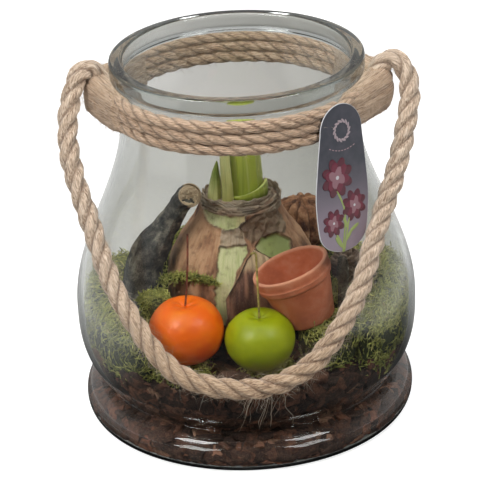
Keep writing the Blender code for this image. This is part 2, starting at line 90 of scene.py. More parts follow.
def unit(vectors):  # each vector divided by its own length
    return vectors / np.maximum(np.linalg.norm(vectors, axis=-1, keepdims=True), 1e-12)


def cornerValue(i, j, k, seed):  # a repeatable number from 0 to 1 at each corner of a lattice
    h = (i * np.uint32(374761393)) ^ (j * np.uint32(668265263)) ^ (k * np.uint32(2246822519))
    h = h ^ np.uint32((seed * 2654435761) % 4294967296)
    h = (h ^ (h >> np.uint32(13))) * np.uint32(1274126177)
    h = (h ^ (h >> np.uint32(15))) * np.uint32(2246822519)
    return ((h ^ (h >> np.uint32(16))) & np.uint32(0xFFFFFF)) / 16777215.0


def cloud(points, size, seed=0, layers=1):
    # smooth noise from -1 to 1: corner values blended along each axis, each further layer half as big
    total = np.zeros(points.shape[:-1])
    weight, scale = 1.0, 1.0 / size
    steps = np.uint32([0, 1])
    for layer in range(layers):
        p = points * scale + 91.7 * layer
        low = np.floor(p)
        share = ease(p - low)
        i, j, k = (low[..., n].astype(np.int64).astype(np.uint32) for n in range(3))
        values = [cornerValue(i + a, j + b, k + c, seed) for c in steps for b in steps for a in steps]
        for n in range(3):
            t = share[..., n]
            values = [near * (1 - t) + far * t for near, far in zip(values[::2], values[1::2])]
        total += weight * (2 * values[0] - 1)
        weight, scale = weight * 0.5, scale * 2
    return total / (2 - 2 * weight)


def smoothLine(points, count):
    # a smooth curve through the points, as count points evenly along it (Catmull-Rom, then evened out)
    p = np.asarray(points, float)
    p = np.vstack([2 * p[0] - p[1], p, 2 * p[-1] - p[-2]])
    a, b, c, d = (p[n:len(p) - 3 + n, None] for n in range(4))
    t = np.linspace(0, 1, 24, endpoint=False)[None, :, None]
    bend, twist = 2 * a - 5 * b + 4 * c - d, 3 * b - a - 3 * c + d
    fine = 0.5 * (2 * b + (c - a) * t + bend * t**2 + twist * t**3)
    fine = np.vstack([fine.reshape(-1, p.shape[1]), p[-2]])
    return evenly(fine, count)


def evenly(line, count):  # the same line with its points evenly spread
    along = lengths(line)
    at = np.linspace(0, along[-1], count)
    return np.stack([np.interp(at, along, line[:, n]) for n in range(line.shape[1])], 1)


def lengths(line):  # how far along the line each of its points is
    return np.concatenate([[0], np.cumsum(np.linalg.norm(np.diff(line, axis=0), axis=1))])


def frames(line, guide):
    # tangent and two side directions at each point, the first side kept as near to guide as it can be
    tangent = unit(np.gradient(line, axis=0))
    side = unit(guide - np.sum(tangent * guide, axis=-1, keepdims=True) * tangent)
    return tangent, side, np.cross(tangent, side)


def softened(line, count):  # each point becomes a bell-shaped average of the count points about it
    bell = np.hanning(count) / np.hanning(count).sum()
    padded = np.pad(line, ((count // 2, count // 2), (0, 0)), mode="edge")
    return np.stack([np.convolve(padded[:, n], bell, mode="valid") for n in range(3)], 1)


def around(count):  # this many angles evenly round a circle
    return full * np.arange(count) / count


def stacked(*parts):  # arrays of matching shapes put together as the parts of vectors
    return np.stack(np.broadcast_arrays(*parts), -1)


def polar(radius, angle, height):  # points at a radius and an angle round the upright axis, at a height
    return stacked(radius * np.cos(angle), radius * np.sin(angle), height)


def rings(angle, side, other):  # rings of directions: cosine times one side plus sine times the other
    angle = angle[None, :, None]
    return np.cos(angle) * side[:, None] + np.sin(angle) * other[:, None]


def middleAndHalf(nodeName):  # the middle of a solid's box, and half its sides
    low, high = (np.array(corner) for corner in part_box(nodeName))
    return (low + high) / 2, (high - low) / 2


# mesh helpers

noTris = np.zeros((0, 3), int)


def gridQuads(rows, cols, wrap=True):  # four corners of each face of a grid, closed across its columns
    i = np.arange(rows - 1)[:, None]
    j = np.arange(cols if wrap else cols - 1)[None, :]
    nextJ = (j + 1) % cols
    corners = (i * cols + j, i * cols + nextJ, (i + 1) * cols + nextJ, (i + 1) * cols + j)
    return np.stack([np.broadcast_to(c, (rows - 1, j.shape[1])) for c in corners], -1).reshape(-1, 4)


def makePiece(name, points, quads, material, marks=None, tris=noTris, smooth=True):
    # one mesh from whole arrays, and marks are named numbers or vectors at its points
    mesh = bpy.data.meshes.new(name)
    mesh.vertices.add(len(points))
    mesh.vertices.foreach_set("co", points.astype(np.float32).ravel())
    mesh.loops.add(4 * len(quads) + 3 * len(tris))
    mesh.loops.foreach_set("vertex_index", np.concatenate([quads.ravel(), tris.ravel()]).astype(np.int32))
    mesh.polygons.add(len(quads) + len(tris))
    starts = np.concatenate([4 * np.arange(len(quads)), 4 * len(quads) + 3 * np.arange(len(tris))])
    mesh.polygons.foreach_set("loop_start", starts.astype(np.int32))
    mesh.polygons.foreach_set("use_smooth", np.full(len(starts), smooth))
    for key, values in (marks or {}).items():
        flat = np.asarray(values, np.float32)
        vector = flat.ndim == 2
        mark = mesh.attributes.new(key, "FLOAT_VECTOR" if vector else "FLOAT", "POINT")
        mark.data.foreach_set("vector" if vector else "value", flat.ravel())
    mesh.update(calc_edges=True)
    mesh.validate()
    mesh.materials.append(material)
    piece = bpy.data.objects.new(name, mesh)
    bpy.context.scene.collection.objects.link(piece)
    return piece


def outward(points, quads, tris=noTris):  # faces turned so that a closed shape has a positive volume
    corners = np.vstack([quads[:, [0, 1, 2]], quads[:, [0, 2, 3]], tris])
    a, b, c = (points[corners[:, n]] for n in range(3))
    if np.sum(a * np.cross(b, c)) < 0:
        return quads[:, ::-1], tris[:, ::-1]
    return quads, tris


def closedTube(name, grid, material, marks=None):
    # rings of points joined into a tube, with a pole at the middle of each end ring
    rows, cols = grid.shape[:2]
    points = np.vstack([grid.reshape(-1, 3), grid[0].mean(0), grid[-1].mean(0)])
    quads = gridQuads(rows, cols)
    ring = np.arange(cols)
    first = np.stack([np.roll(ring, -1), ring, np.full(cols, rows * cols)], 1)
    last = (rows - 1) * cols + np.stack([ring, np.roll(ring, -1), np.full(cols, cols + 1)], 1)
    quads, tris = outward(points, quads, np.vstack([first, last]))
    fullMarks = {}
    for key, values in (marks or {}).items():
        values = np.asarray(values, float)
        flat = values.reshape((rows * cols,) + values.shape[2:])
        fullMarks[key] = np.concatenate([flat, values[0].mean(0)[None], values[-1].mean(0)[None]])
    return makePiece(name, points, quads, material, fullMarks, tris)


def copies(name, base, quads, centres, axes, sizes, material, tone, smooth=True, bend=None):
    # many copies of one small closed form: each scaled along its own three axes and moved, with one tone each
    local = (base if base.ndim == 3 else base[None]) * sizes[:, None]
    points = np.einsum("nvk,nkj->nvj", local, axes) + centres[:, None]
    if bend is not None:
        points = bend(points)
    each = base.shape[-2]
    step = each * np.arange(len(centres))[:, None, None]
    quads = (quads[None] + step).reshape(-1, 4)
    marks = {"tone": np.repeat(tone, each)}
    return makePiece(name, points.reshape(-1, 3), quads, material, marks, smooth=smooth)


def strands(name, lines, width, material, tone, wave=None):
    # many thin strands: lines is (strand, point, xyz), each a three-sided tube that narrows to both its ends,
    # and wave makes it wider and narrower along its length
    sides = 3
    count, rows = lines.shape[:2]
    tangent = unit(np.gradient(lines, axis=1))
    guide = unit(np.stack([tangent[..., 1] + 0.3, tangent[..., 2] - 0.2, tangent[..., 0] + 0.1], -1))
    side = unit(np.cross(tangent, guide))
    other = np.cross(tangent, side)
    share = np.linspace(0, 1, rows)
    taper = np.sqrt(np.clip(1 - (2 * share - 0.9) ** 4 / 1.6, 0.03, 1))
    if wave is not None:
        taper = taper * wave(share)
    angle = around(sides)[:, None]
    ring = np.cos(angle) * side[:, :, None] + np.sin(angle) * other[:, :, None]
    radius = width[:, None, None, None] * taper[None, :, None, None]
    points = (lines[:, :, None] + ring * radius).reshape(-1, 3)
    quads = gridQuads(rows, sides)
    step = rows * sides * np.arange(count)[:, None, None]
    quads = (quads[None, :, ::-1] + step).reshape(-1, 4)
    cap = np.array([[0, 1, 2]])
    ends = np.concatenate([cap, (rows - 1) * sides + cap[:, ::-1]])
    tris = (ends[None, :, ::-1] + step).reshape(-1, 3)
    marks = {"tone": np.repeat(tone, rows * sides), "along": np.tile(np.repeat(share, sides), count)}
    return makePiece(name, points, quads, material, marks, tris)


def roundForm(n):
    # a cube's six faces as grids of n by n squares, joined and pushed out to the unit sphere
    line = np.tan(np.linspace(-1, 1, n + 1) * np.pi / 4)
    u, v = np.meshgrid(line, line, indexing="ij")
    points, quads = [], []
    for axis in range(3):
        for side in (-1, 1):
            face = np.roll(np.stack([side + 0 * u, u, v], -1), axis, axis=-1).reshape(-1, 3)
            corners = gridQuads(n + 1, n + 1, wrap=False)
            quads.append((corners[:, ::-1] if side > 0 else corners) + len(points) * (n + 1) ** 2)
            points.append(face)
    points, quads = np.vstack(points), np.vstack(quads)
    kept, first, place = np.unique(np.round(points, 6), axis=0, return_index=True, return_inverse=True)
    quads = place.reshape(-1)[quads]
    kept = unit(points[first])
    return kept, outward(kept, quads)[0]


def squared(points, powers):  # points of the unit sphere pushed out towards a box, where 1 keeps the sphere
    return np.sign(points) * np.abs(points) ** np.asarray(powers)


def onForm(shape, directions):
    # places on a form and the normals there, from two small steps to either side of each direction
    first = unit(np.cross(directions, np.array([0.31, 0.52, 0.79])))
    second = np.cross(directions, first)
    place = shape(directions)
    right = shape(unit(directions + 0.02 * first)) - place
    left = shape(unit(directions + 0.02 * second)) - place
    return place, unit(np.cross(right, left))


def lumpy(name, shape, n, material, bumps, tone=None, fit=None):
    # a closed form, each of its points moved along the normal by noise given as (height, size, seed)
    directions, quads = roundForm(n)
    points, normals = onForm(shape, directions)
    for height, size, seed in bumps:
        points = points + normals * (height * cloud(points, size, seed, 3))[:, None]
    points = points if fit is None else fit(points)
    marks = {} if tone is None else {"tone": np.full(len(points), tone)}
    return makePiece(name, points, quads, material, marks)


def turnedBy(degrees):  # the three axes after a turn about z
    return np.array(Matrix.Rotation(math.radians(degrees), 3, "Z")).T


def anyTurns(rng, count, tilt):  # axes turned any way about z and tipped by up to tilt in radians
    z = rng.uniform(0, full, count)
    lean, towards = rng.uniform(-tilt, tilt, count), rng.uniform(0, full, count)
    up = polar(np.sin(lean), towards, np.cos(lean))
    first = polar(1.0, z, 0.0)
    first = unit(first - up * np.sum(first * up, axis=1, keepdims=True))
    return np.stack([first, np.cross(up, first), up], 1)


def settle(piece, slot, *nodes):  # the piece rides on the frame and stands for these solids of it
    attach(piece, "root")
    if nodes:
        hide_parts(*nodes)


# material helpers

def newMaterial(name, **values):  # a Principled material with these values on its own sockets, and its nodes
    material = bpy.data.materials.new(name)
    material.use_nodes = True
    shader = material.node_tree.nodes["Principled BSDF"]
    for key, value in values.items():
        shader.inputs[key.replace("_", " ")].default_value = value
    return material, material.node_tree


def node(tree, kind, wires=None, **settings):
    # a node with its settings, and wires gives each input a value or the output that feeds it
    made = tree.nodes.new(kind)
    for key, value in settings.items():
        setattr(made, key, value)
    for key, value in (wires or {}).items():
        feed(tree, made.inputs[key], value)
    return made


def feed(tree, socket, value):  # gives an input a value, or the output that feeds it
    if isinstance(value, bpy.types.NodeSocket):
        tree.links.new(value, socket)
    else:
        socket.default_value = value


def markOf(tree, name, output="Fac"):  # a named mark of the mesh
    return node(tree, "ShaderNodeAttribute", attribute_name=name).outputs[output]


def placeOf(tree):  # the place on the piece, in metres
    return node(tree, "ShaderNodeTexCoord").outputs["Object"]


def maths(tree, operation, *values):
    return node(tree, "ShaderNodeMath", dict(enumerate(values)), operation=operation).outputs[0]


def rescaled(tree, value, start, end, low=0.0, high=1.0, how="LINEAR"):
    # the value's range from start to end, made to run from low to high and held there outside it
    made = node(tree, "ShaderNodeMapRange", {"Value": value, "From Min": start, "From Max": end,
                                             "To Min": low, "To Max": high}, interpolation_type=how)
    return made.outputs["Result"]


def blendColours(tree, factor, first, second, how="MIX"):
    mix = node(tree, "ShaderNodeMix", {0: factor}, data_type="RGBA", blend_type=how)
    for socket, colour in ((mix.inputs[6], first), (mix.inputs[7], second)):
        feed(tree, socket, (*colour, 1) if isinstance(colour, tuple) else colour)
    return mix.outputs[2]


def overlaid(tree, body, colour, mask, first, last):
    # a colour laid over the body: first and last say where on the mask, and how strongly there
    return blendColours(tree, ramp(tree, mask, first, last), body, colour)


def ramp(tree, factor, *stops):  # colours or greys along a factor, as (place, colour) pairs
    made = node(tree, "ShaderNodeValToRGB", {"Fac": factor})
    band = made.color_ramp
    while len(band.elements) < len(stops):
        band.elements.new(0.5)
    for element, (place, colour) in zip(band.elements, stops):
        element.position = place
        element.color = (*colour, 1) if isinstance(colour, tuple) else (colour, colour, colour, 1)
    return made.outputs["Color"]


def bumped(tree, height, strength, distance):
    shader = tree.nodes["Principled BSDF"]
    bump = node(tree, "ShaderNodeBump", {"Height": height, "Strength": strength, "Distance": distance})
    tree.links.new(bump.outputs["Normal"], shader.inputs["Normal"])


def paint(tree, colour):
    tree.links.new(colour, tree.nodes["Principled BSDF"].inputs["Base Color"])


def newGroup(name, inputs, outputs):
    group = bpy.data.node_groups.new(name, "ShaderNodeTree")
    for label, kind, value in inputs:
        socket = group.interface.new_socket(label, in_out="INPUT", socket_type=kind)
        if value is not None:
            socket.default_value = value
    for label, kind in outputs:
        group.interface.new_socket(label, in_out="OUTPUT", socket_type=kind)
    return group, group.nodes.new("NodeGroupInput"), group.nodes.new("NodeGroupOutput")


def useGroup(tree, group, **wires):
    return node(tree, "ShaderNodeGroup", wires, node_tree=group).outputs


def noise(tree, vector, scale, detail, roughness=0.5):
    wires = {"Vector": vector, "Scale": scale, "Detail": detail, "Roughness": roughness}
    return node(tree, "ShaderNodeTexNoise", wires).outputs["Fac"]


def makeMottle():  # broad patches, fine grain and small dark spots of one size
    number = "NodeSocketFloat"
    group, given, result = newGroup(
        "mottle",
        [("Vector", "NodeSocketVector", None), ("Size", number, 100.0)],
        [("Patches", number), ("Grain", number), ("Spots", number)],
    )
    vector, size = given.outputs["Vector"], given.outputs["Size"]
    finer = maths(group, "MULTIPLY", size, 9.0)
    cells = node(group, "ShaderNodeTexVoronoi", {"Vector": vector, "Scale": finer})
    feed(group, result.inputs["Patches"], noise(group, vector, size, 4.0, 0.6))
    feed(group, result.inputs["Grain"], noise(group, vector, finer, 3.0))
    feed(group, result.inputs["Spots"], rescaled(group, cells.outputs["Distance"], 0.05, 0.22, 1.0, 0.0))
    return group


def makeFibre():  # long fibres along the third axis of the coordinates, in two sizes
    number = "NodeSocketFloat"
    group, given, result = newGroup(
        "fibre",
        [("Vector", "NodeSocketVector", None), ("Across", number, 900.0), ("Along", number, 60.0)],
        [("Lines", number), ("Streaks", number)],
    )
    vector, across, along = (given.outputs[name] for name in ("Vector", "Across", "Along"))
    scale = node(group, "ShaderNodeCombineXYZ", {"X": across, "Y": across, "Z": along}).outputs[0]
    scaled = node(group, "ShaderNodeVectorMath", {0: vector, 1: scale}, operation="MULTIPLY").outputs[0]
    feed(group, result.inputs["Lines"], noise(group, scaled, 1.0, 3.0, 0.65))
    feed(group, result.inputs["Streaks"], noise(group, scaled, 0.27, 2.0))
    return group


mottle = makeMottle()
fibre = makeFibre()


def mottled(tree, size):  # the mottle's outputs at this piece's places
    return useGroup(tree, mottle, Vector=placeOf(tree), Size=size)


# jute: the handle and the collar

jute = dict(
    handle=((0.170, 0.098, 0.060), (0.480, 0.345, 0.238), (0.740, 0.585, 0.445), (0.900, 0.800, 0.680)),
    collar=((0.120, 0.066, 0.038), (0.450, 0.285, 0.175), (0.700, 0.500, 0.345), (0.880, 0.720, 0.550)),
    felt=((0.180, 0.095, 0.050), (0.440, 0.290, 0.180), (0.610, 0.440, 0.300), (0.780, 0.640, 0.490)),
    lowTint=(0.80, 0.72, 0.62),  # the handle is browner where it hangs low
    lowTintFrom=(0.125, 0.070),  # height where the browning begins, and where it is full
    hair=((0.330, 0.230, 0.150), (0.580, 0.460, 0.340), (0.760, 0.660, 0.540)),
    hairWidth=0.00004,
)


def makeJute(name, colours, fineness):
    # flow holds the rope opened out straight, so the fibres follow every bend
    material, tree = newMaterial(name, Roughness=0.88, Sheen_Weight=0.25, Sheen_Roughness=0.5)
    flow, valleyShade = markOf(tree, "flow", "Vector"), markOf(tree, "valleyShade")
    hairs = useGroup(tree, fibre, Vector=flow, Across=1500.0 * fineness, Along=70.0 * fineness)
    wide = useGroup(tree, fibre, Vector=flow, Across=520.0 * fineness, Along=34.0 * fineness)
    dark, middle, light, bleached = colours
    body = ramp(tree, hairs["Lines"], (0.36, dark), (0.46, middle), (0.57, light), (0.70, bleached))
    washed = overlaid(tree, body, light, wide["Streaks"], (0.35, 0.0), (0.75, 0.6))
    # painted shade: darker down in the creases between the strands
    shaded = overlaid(tree, washed, dark, valleyShade, (0.0, 0.0), (1.0, 0.85))
    # darker and browner towards the bottom of the handle, by height
    place = node(tree, "ShaderNodeSeparateXYZ", {"Vector": placeOf(tree)})
    low = rescaled(tree, place.outputs["Z"], *jute["lowTintFrom"])
    paint(tree, blendColours(tree, low, shaded, jute["lowTint"], "MULTIPLY"))
    bumped(tree, maths(tree, "ADD", hairs["Lines"], wide["Lines"]), 1.0, 0.0009)
    return material


def makeHairMaterial():
    material, tree = newMaterial("jute_hair", Roughness=0.7)
    paint(tree, ramp(tree, markOf(tree, "tone"), *zip((0.0, 0.5, 1.0), jute["hair"])))
    return material


def ropeSurface(line, guide, radius, size, columns, squash=(1, 1), seed=1):
    # around each point of the line runs the outline of three round strands pressed together, and the
    # outline turns once for every lay: rho = o cos(a) + sqrt(s^2 - o^2 sin^2(a)), a measured from a strand;
    # size is the piece's own dictionary, and squash makes the rope wider and less tall where it is pressed
    side, other = frames(line, guide)[1:]
    along = lengths(line)[:, None]
    lobes, strand = 3, size["strand"]
    turn = around(columns)[None]
    local = turn - full * along / size["lay"]
    spread = full / lobes
    nearest = (local + spread / 2) % spread - spread / 2
    offset = 1 - strand
    rho = offset * np.cos(nearest) + np.sqrt(strand**2 - (offset * np.sin(nearest)) ** 2)
    valley = offset * np.cos(spread / 2) + np.sqrt(strand**2 - (offset * np.sin(spread / 2)) ** 2)
    beta = np.arctan2(rho * np.sin(nearest), rho * np.cos(nearest) - offset)
    whichStrand = np.floor((local + spread / 2) / spread) % lobes
    straight = polar(rho * radius[:, None], turn, along)
    yarn = 0.035 * np.cos(5 * beta + full * along / size["yarnLay"] + whichStrand * 1.3)
    uneven = 0.05 * cloud(straight, 0.009, seed, 2) + 0.035 * cloud(straight, 0.0022, seed + 1, 2)
    reach = radius[:, None] * (rho + yarn + uneven)
    wide, tall = (np.reshape(value, (-1, 1)) for value in squash)
    points = line[:, None] + reach[..., None] * rings(turn[0], side * wide, other * tall)
    # painted shade mask: 0 on the strands' crowns, 1 down in the valleys between them
    valleyShade = ((1 - rho) / (1 - valley)).clip(0, 1) ** 3 + 0 * along
    return points, {"flow": straight, "valleyShade": valleyShade}


def strayHairs(name, line, guide, radius, count, reach, seed):
    # fibres that spring from the rope's surface: out along its normal, then bending off to one side
    rng = np.random.default_rng(seed)
    tangent, side, other = frames(line, guide)
    row = rng.integers(4, len(line) - 4, count)
    angle = rng.uniform(0, full, count)
    out = np.cos(angle)[:, None] * side[row] + np.sin(angle)[:, None] * other[row]
    drift = unit(tangent[row] * rng.choice([-1, 1], count)[:, None] + rng.normal(0, 0.5, (count, 3)))
    length = reach * rng.uniform(0.3, 1.0, count) ** 1.5
    t = np.linspace(0, 1, 5)[None, :, None]
    start = line[row] + out * radius[row, None] * 0.85
    lift = out[:, None] * (t - 0.35 * t**2) * 0.55
    run = drift[:, None] * t**1.5 * 0.8
    sag = np.array([0, 0, -1.0]) * t**2 * 0.25
    lines = start[:, None] + (lift + run + sag) * length[:, None, None]
    lines += cloud(lines, 0.004, seed, 1)[..., None] * 0.0006 * t
    return strands(name, lines, np.full(count, jute["hairWidth"]), hairJute, rng.uniform(0.2, 1, count))


def hangingFibres(line):
    # a few long fibres that have worked loose under the lowest part of the handle and hang straight down
    rng = np.random.default_rng(12)
    count = handle["frayed"]
    lowest = line[(np.abs(line[:, 0] - 0.008) < 0.011) & (line[:, 2] < 0.09)]
    start = lowest[rng.integers(0, len(lowest), count)] + np.array([0, -0.001, -0.0052])
    length = rng.uniform(0.006, 0.022, count)
    aside = np.stack([rng.normal(-0.30, 0.28, count), rng.normal(0.02, 0.05, count), np.full(count, -1.0)], 1)
    t = np.linspace(0, 1, 9)[None, :, None]
    lines = start[:, None] + aside[:, None] * t * length[:, None, None]
    sway = stacked(cloud(lines, 0.007, 13, 1), 0.3 * cloud(lines, 0.007, 14, 1), 0.0)
    lines = lines + sway * 0.0046 * t
    width = np.full(count, 2 * jute["hairWidth"])
    return strands("handle_frayed_fibres", lines, width, hairJute, rng.uniform(0, 0.7, count))


handle = dict(
    radius=0.0060,
    tucked=0.0042,  # radius where the collar squeezes it against the neck
    strand=0.60,  # radius of one of its three strands, where the rope's own is 1
    lay=0.037,  # the length in which a strand winds once round
    yarnLay=0.013,
    hairs=4700,
    frayed=18,
    route=(
        (-0.0746, 0.0070, 0.1840), (-0.0746, 0.0070, 0.1930), (-0.0747, 0.0070, 0.2010),
        (-0.0782, 0.0064, 0.2069), (-0.0839, 0.0044, 0.2116), (-0.0898, 0.0006, 0.2096),
        (-0.0934, -0.0046, 0.2024), (-0.0958, -0.0104, 0.1940), (-0.0972, -0.0176, 0.1834),
        (-0.0964, -0.0252, 0.1730), (-0.0928, -0.0356, 0.1584), (-0.0870, -0.0466, 0.1432),
        (-0.0810, -0.0586, 0.1260), (-0.0746, -0.0698, 0.1106), (-0.0664, -0.0800, 0.0976),
        (-0.0544, -0.0914, 0.0816), (-0.0423, -0.0992, 0.0702), (-0.0285, -0.1036, 0.0642),
        (-0.0134, -0.1060, 0.0612), (0.0000, -0.1066, 0.0606), (0.0130, -0.1059, 0.0622),
        (0.0254, -0.1035, 0.0664), (0.0370, -0.0998, 0.0734), (0.0476, -0.0938, 0.0838),
        (0.0564, -0.0860, 0.0954), (0.0648, -0.0750, 0.1082), (0.0724, -0.0610, 0.1256),
        (0.0786, -0.0494, 0.1394), (0.0846, -0.0402, 0.1524), (0.0900, -0.0308, 0.1656),
        (0.0942, -0.0208, 0.1794), (0.0970, -0.0128, 0.1906), (0.0972, -0.0066, 0.2000),
        (0.0942, -0.0026, 0.2078), (0.0886, -0.0008, 0.2117), (0.0830, -0.0009, 0.2103),
        (0.0786, -0.0010, 0.2063), (0.0754, -0.0010, 0.2006), (0.0752, -0.0010, 0.1928),
        (0.0752, -0.0010, 0.1840),
    ),
)

ropeJute = makeJute("rope_jute", jute["handle"], 1.0)
cordJute = makeJute("cord_jute", jute["collar"], 1.5)
feltJute = makeJute("felt_jute", jute["felt"], 1.1)
hairJute = makeHairMaterial()


def makeHandle():
    line = smoothLine(handle["route"], 760)
    along = lengths(line)
    fromEnd = np.minimum(along, along[-1] - along)
    radius = handle["tucked"] + (handle["radius"] - handle["tucked"]) * ease((fromEnd - 0.020) / 0.014)
    guide = unit(np.array([0, 0.81, -0.59]))
    points, marks = ropeSurface(line, guide, radius, handle, 54)
    rope = closedTube("handle_rope", points, ropeJute, marks)
    hairs = strayHairs("handle_hairs", line, guide, radius, handle["hairs"], 0.0085, 11)
    frayed = hangingFibres(line)
    for piece in (hairs, frayed):
        settle(piece, "jute")
    settle(rope, "jute", "rope_handle")


makeHandle()
print("rope handle laid")


# glass

vase = dict(
    baseRadius=0.0862,
    footRadius=0.0976,
    footHeight=0.0214,
    waistRadius=0.0841,
    bodyRadius=0.1000,
    bodyHeight=0.0688,
    shoulderRadius=0.0687,
    shoulderHeight=0.1740,
    neckRadius=0.0676,
    neckHeight=0.1900,
    rimUnderside=0.2085,
    rimRadius=0.0728,
    mouthRadius=0.0650,
    height=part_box("glass_vase")[1][2],
    wall=0.0032,
    footWall=0.0014,
    floor=0.0016,
    squareness=0.55,  # of the foot's roll, where 1 is a plain half circle
    rimSquareness=0.42,
    steps=184,  # corners round the vase
    tint=(0.965, 0.97, 0.96, 1),
    shadow=(0.90, 0.92, 0.92, 1),  # what the glass lets through of a lamp's light
    smoke=(0.755, 0.772, 0.762, 1),
    smokeDensity=190.0,
)


def bodyRadius(z):
    # cubic curves between knots of height, radius and slope, from the waist to the neck
    knots = np.array([
        (vase["footHeight"], vase["waistRadius"], 1.0),
        (vase["bodyHeight"], vase["bodyRadius"], 0.0),
        (vase["shoulderHeight"], vase["shoulderRadius"], -0.12),
        (vase["neckHeight"], vase["neckRadius"], 0.0),
    ])
    z = np.clip(np.asarray(z, float), knots[0, 0], knots[-1, 0])
    n = np.clip(np.searchsorted(knots[:, 0], z, side="right") - 1, 0, len(knots) - 2)
    low, high = knots[n], knots[n + 1]
    span = high[..., 0] - low[..., 0]
    t = (z - low[..., 0]) / span
    return (low[..., 1] * (2 * t**3 - 3 * t**2 + 1) + low[..., 2] * span * (t**3 - 2 * t**2 + t)
            + high[..., 1] * (3 * t**2 - 2 * t**3) + high[..., 2] * span * (t**3 - t**2))


def footLine(share, low, high, bottom, top, widest):
    # a roll: the radius swells as the sine of its share, made squarer by a power, and the height follows
    # its cosine
    swell = widest - (low + high) / 2
    radius = low + (high - low) * share + swell * np.sin(np.pi * share).clip(0) ** vase["squareness"]
    return np.stack([radius, bottom + (top - bottom) * (1 - np.cos(np.pi * share)) / 2], 1)


def innerWall():  # inner profile of the glass from the foot's bottom edge to the neck, as (radius, height)
    v = vase
    foot = footLine(np.linspace(0, 1, 60), v["baseRadius"] - v["footWall"], v["waistRadius"] - v["wall"],
                    v["floor"], v["footHeight"] - v["wall"], v["footRadius"] - v["footWall"])
    z = np.linspace(v["footHeight"], v["neckHeight"], 120)
    return np.vstack([foot, np.stack([bodyRadius(z) - v["wall"], z], 1)])


def makeGlassMaterial():
    material, tree = newMaterial("vase_glass", Base_Color=vase["tint"], Roughness=0.0, IOR=1.48,
                                 Transmission_Weight=1.0)
    shader, result = tree.nodes["Principled BSDF"], tree.nodes["Material Output"]
    shadowRay = node(tree, "ShaderNodeLightPath").outputs["Is Shadow Ray"]
    clear = node(tree, "ShaderNodeBsdfTransparent", {"Color": vase["shadow"]})
    mix = node(tree, "ShaderNodeMixShader", {0: shadowRay, 1: shader.outputs[0], 2: clear.outputs[0]})
    absorbed = {"Color": vase["smoke"], "Density": vase["smokeDensity"]}
    smoke = node(tree, "ShaderNodeVolumeAbsorption", absorbed)
    tree.links.new(mix.outputs[0], result.inputs["Surface"])
    tree.links.new(smoke.outputs[0], result.inputs["Volume"])
    return material


def makeGlass():
    v, neck, inner = vase, vase["neckRadius"], innerWall()
    top, under = v["height"], v["rimUnderside"]
    # the rim is a bead: an oval that stands out from the neck on both sides
    a = np.radians(np.linspace(232, -62, 24))
    wide, tall = (v["rimRadius"] - v["mouthRadius"]) / 2, (top - 0.0006 - under) / 2
    bead = np.stack([v["mouthRadius"] + wide * (1 + squared(np.cos(a), v["rimSquareness"])),
                     under + tall * (1 + squared(np.sin(a), v["rimSquareness"]))], 1)
    rim = smoothLine(np.vstack([
        [(neck - v["wall"], v["neckHeight"] + 0.002), (neck - 0.0019, under - 0.006),
         (neck - 0.0015, under - 0.002)],
        bead,
        [(neck + 0.0002, under - 0.0016), (neck, v["neckHeight"] + 0.002)],
    ]), 104)
    z = np.linspace(v["neckHeight"], v["footHeight"] + 0.0004, 88)
    outer = np.stack([bodyRadius(z), z], 1)
    foot = footLine(1 - np.linspace(0, 1, 70), v["baseRadius"], v["waistRadius"], 0, v["footHeight"],
                    v["footRadius"])
    floorRing = np.stack([np.linspace(0.001, inner[0, 0] - 0.002, 8), np.full(8, v["floor"])], 1)
    baseRing = np.stack([np.linspace(v["baseRadius"] - 0.002, 0.001, 8), np.zeros(8)], 1)
    profile = np.vstack([floorRing, inner, rim, outer, foot, baseRing])
    grid = polar(profile[:, :1], around(v["steps"]), profile[:, 1:])
    settle(closedTube("glass_body", grid, makeGlassMaterial()), "glass", "glass_vase")


makeGlass()
print("glass turned")


# collar

collar = dict(
    radius=0.0035,
    pitch=0.0064,
    start=math.radians(-33),  # behind the card
    turns=2.98,
    perTurn=420,  # places worked out in one turn
    stepUp=0.045,  # share of a turn in which the string climbs to its next row
    topRow=0.2031,
    clearance=0.00075,
    ears=((-0.0746, 0.0070), (0.0752, -0.0010)),  # where the ends of the handle stand under the string
    earRadius=0.0085,
    earDrop=0.0012,
    earFrom=0.066,
    earWithin=0.014,
    feltReach=math.radians(33),  # how far round the neck the felt over each ear goes, to either side
    feltHigh=0.0125,
    feltDeep=0.0086,
    fuzz=1500,
    hairs=3800,
    strand=0.70,
    lay=0.031,
    yarnLay=0.009,
)


def nearEar(x):  # 0 between the ears and 1 at either of them
    return ease((np.abs(x) - collar["earFrom"]) / collar["earWithin"])


def makeCollar():
    # each row is a string pulled tight round the neck and both rope ends: at every facing angle it
    # lies on whichever circle reaches furthest that way
    c = collar
    turn = np.arange(int(c["turns"] * c["perTurn"])) / c["perTurn"]
    flat = stringRound(c["start"] + full * turn)
    row = np.floor(turn)
    climb = np.minimum(row + ease((turn - row - 1 + c["stepUp"]) / c["stepUp"]), 2)
    atEar = nearEar(flat[:, 0])
    height = c["topRow"] - c["pitch"] - c["earDrop"] * atEar + (climb - 1) * c["pitch"] * (1 + 0.12 * atEar)
    line = evenly(np.column_stack([flat, height]), 1150)
    atEar = nearEar(line[:, 0])
    line = softened(line, 13)
    upright = np.array([0, 0, 1.0])
    radius = np.full(len(line), c["radius"] * 1.03)
    squash = (1.03 + 0.10 * atEar, 1 - 0.18 * atEar)
    points, marks = ropeSurface(line, upright, radius, collar, 30, squash, seed=5)
    settle(closedTube("collar_rows", points, cordJute, marks), "jute", "collar_cord")
    settle(strayHairs("collar_hairs", line, upright, radius, c["hairs"], 0.0065, 21), "jute")
    for n, side in enumerate(("left", "right")):
        makeFelt(side, c["ears"][n], 22 + n)


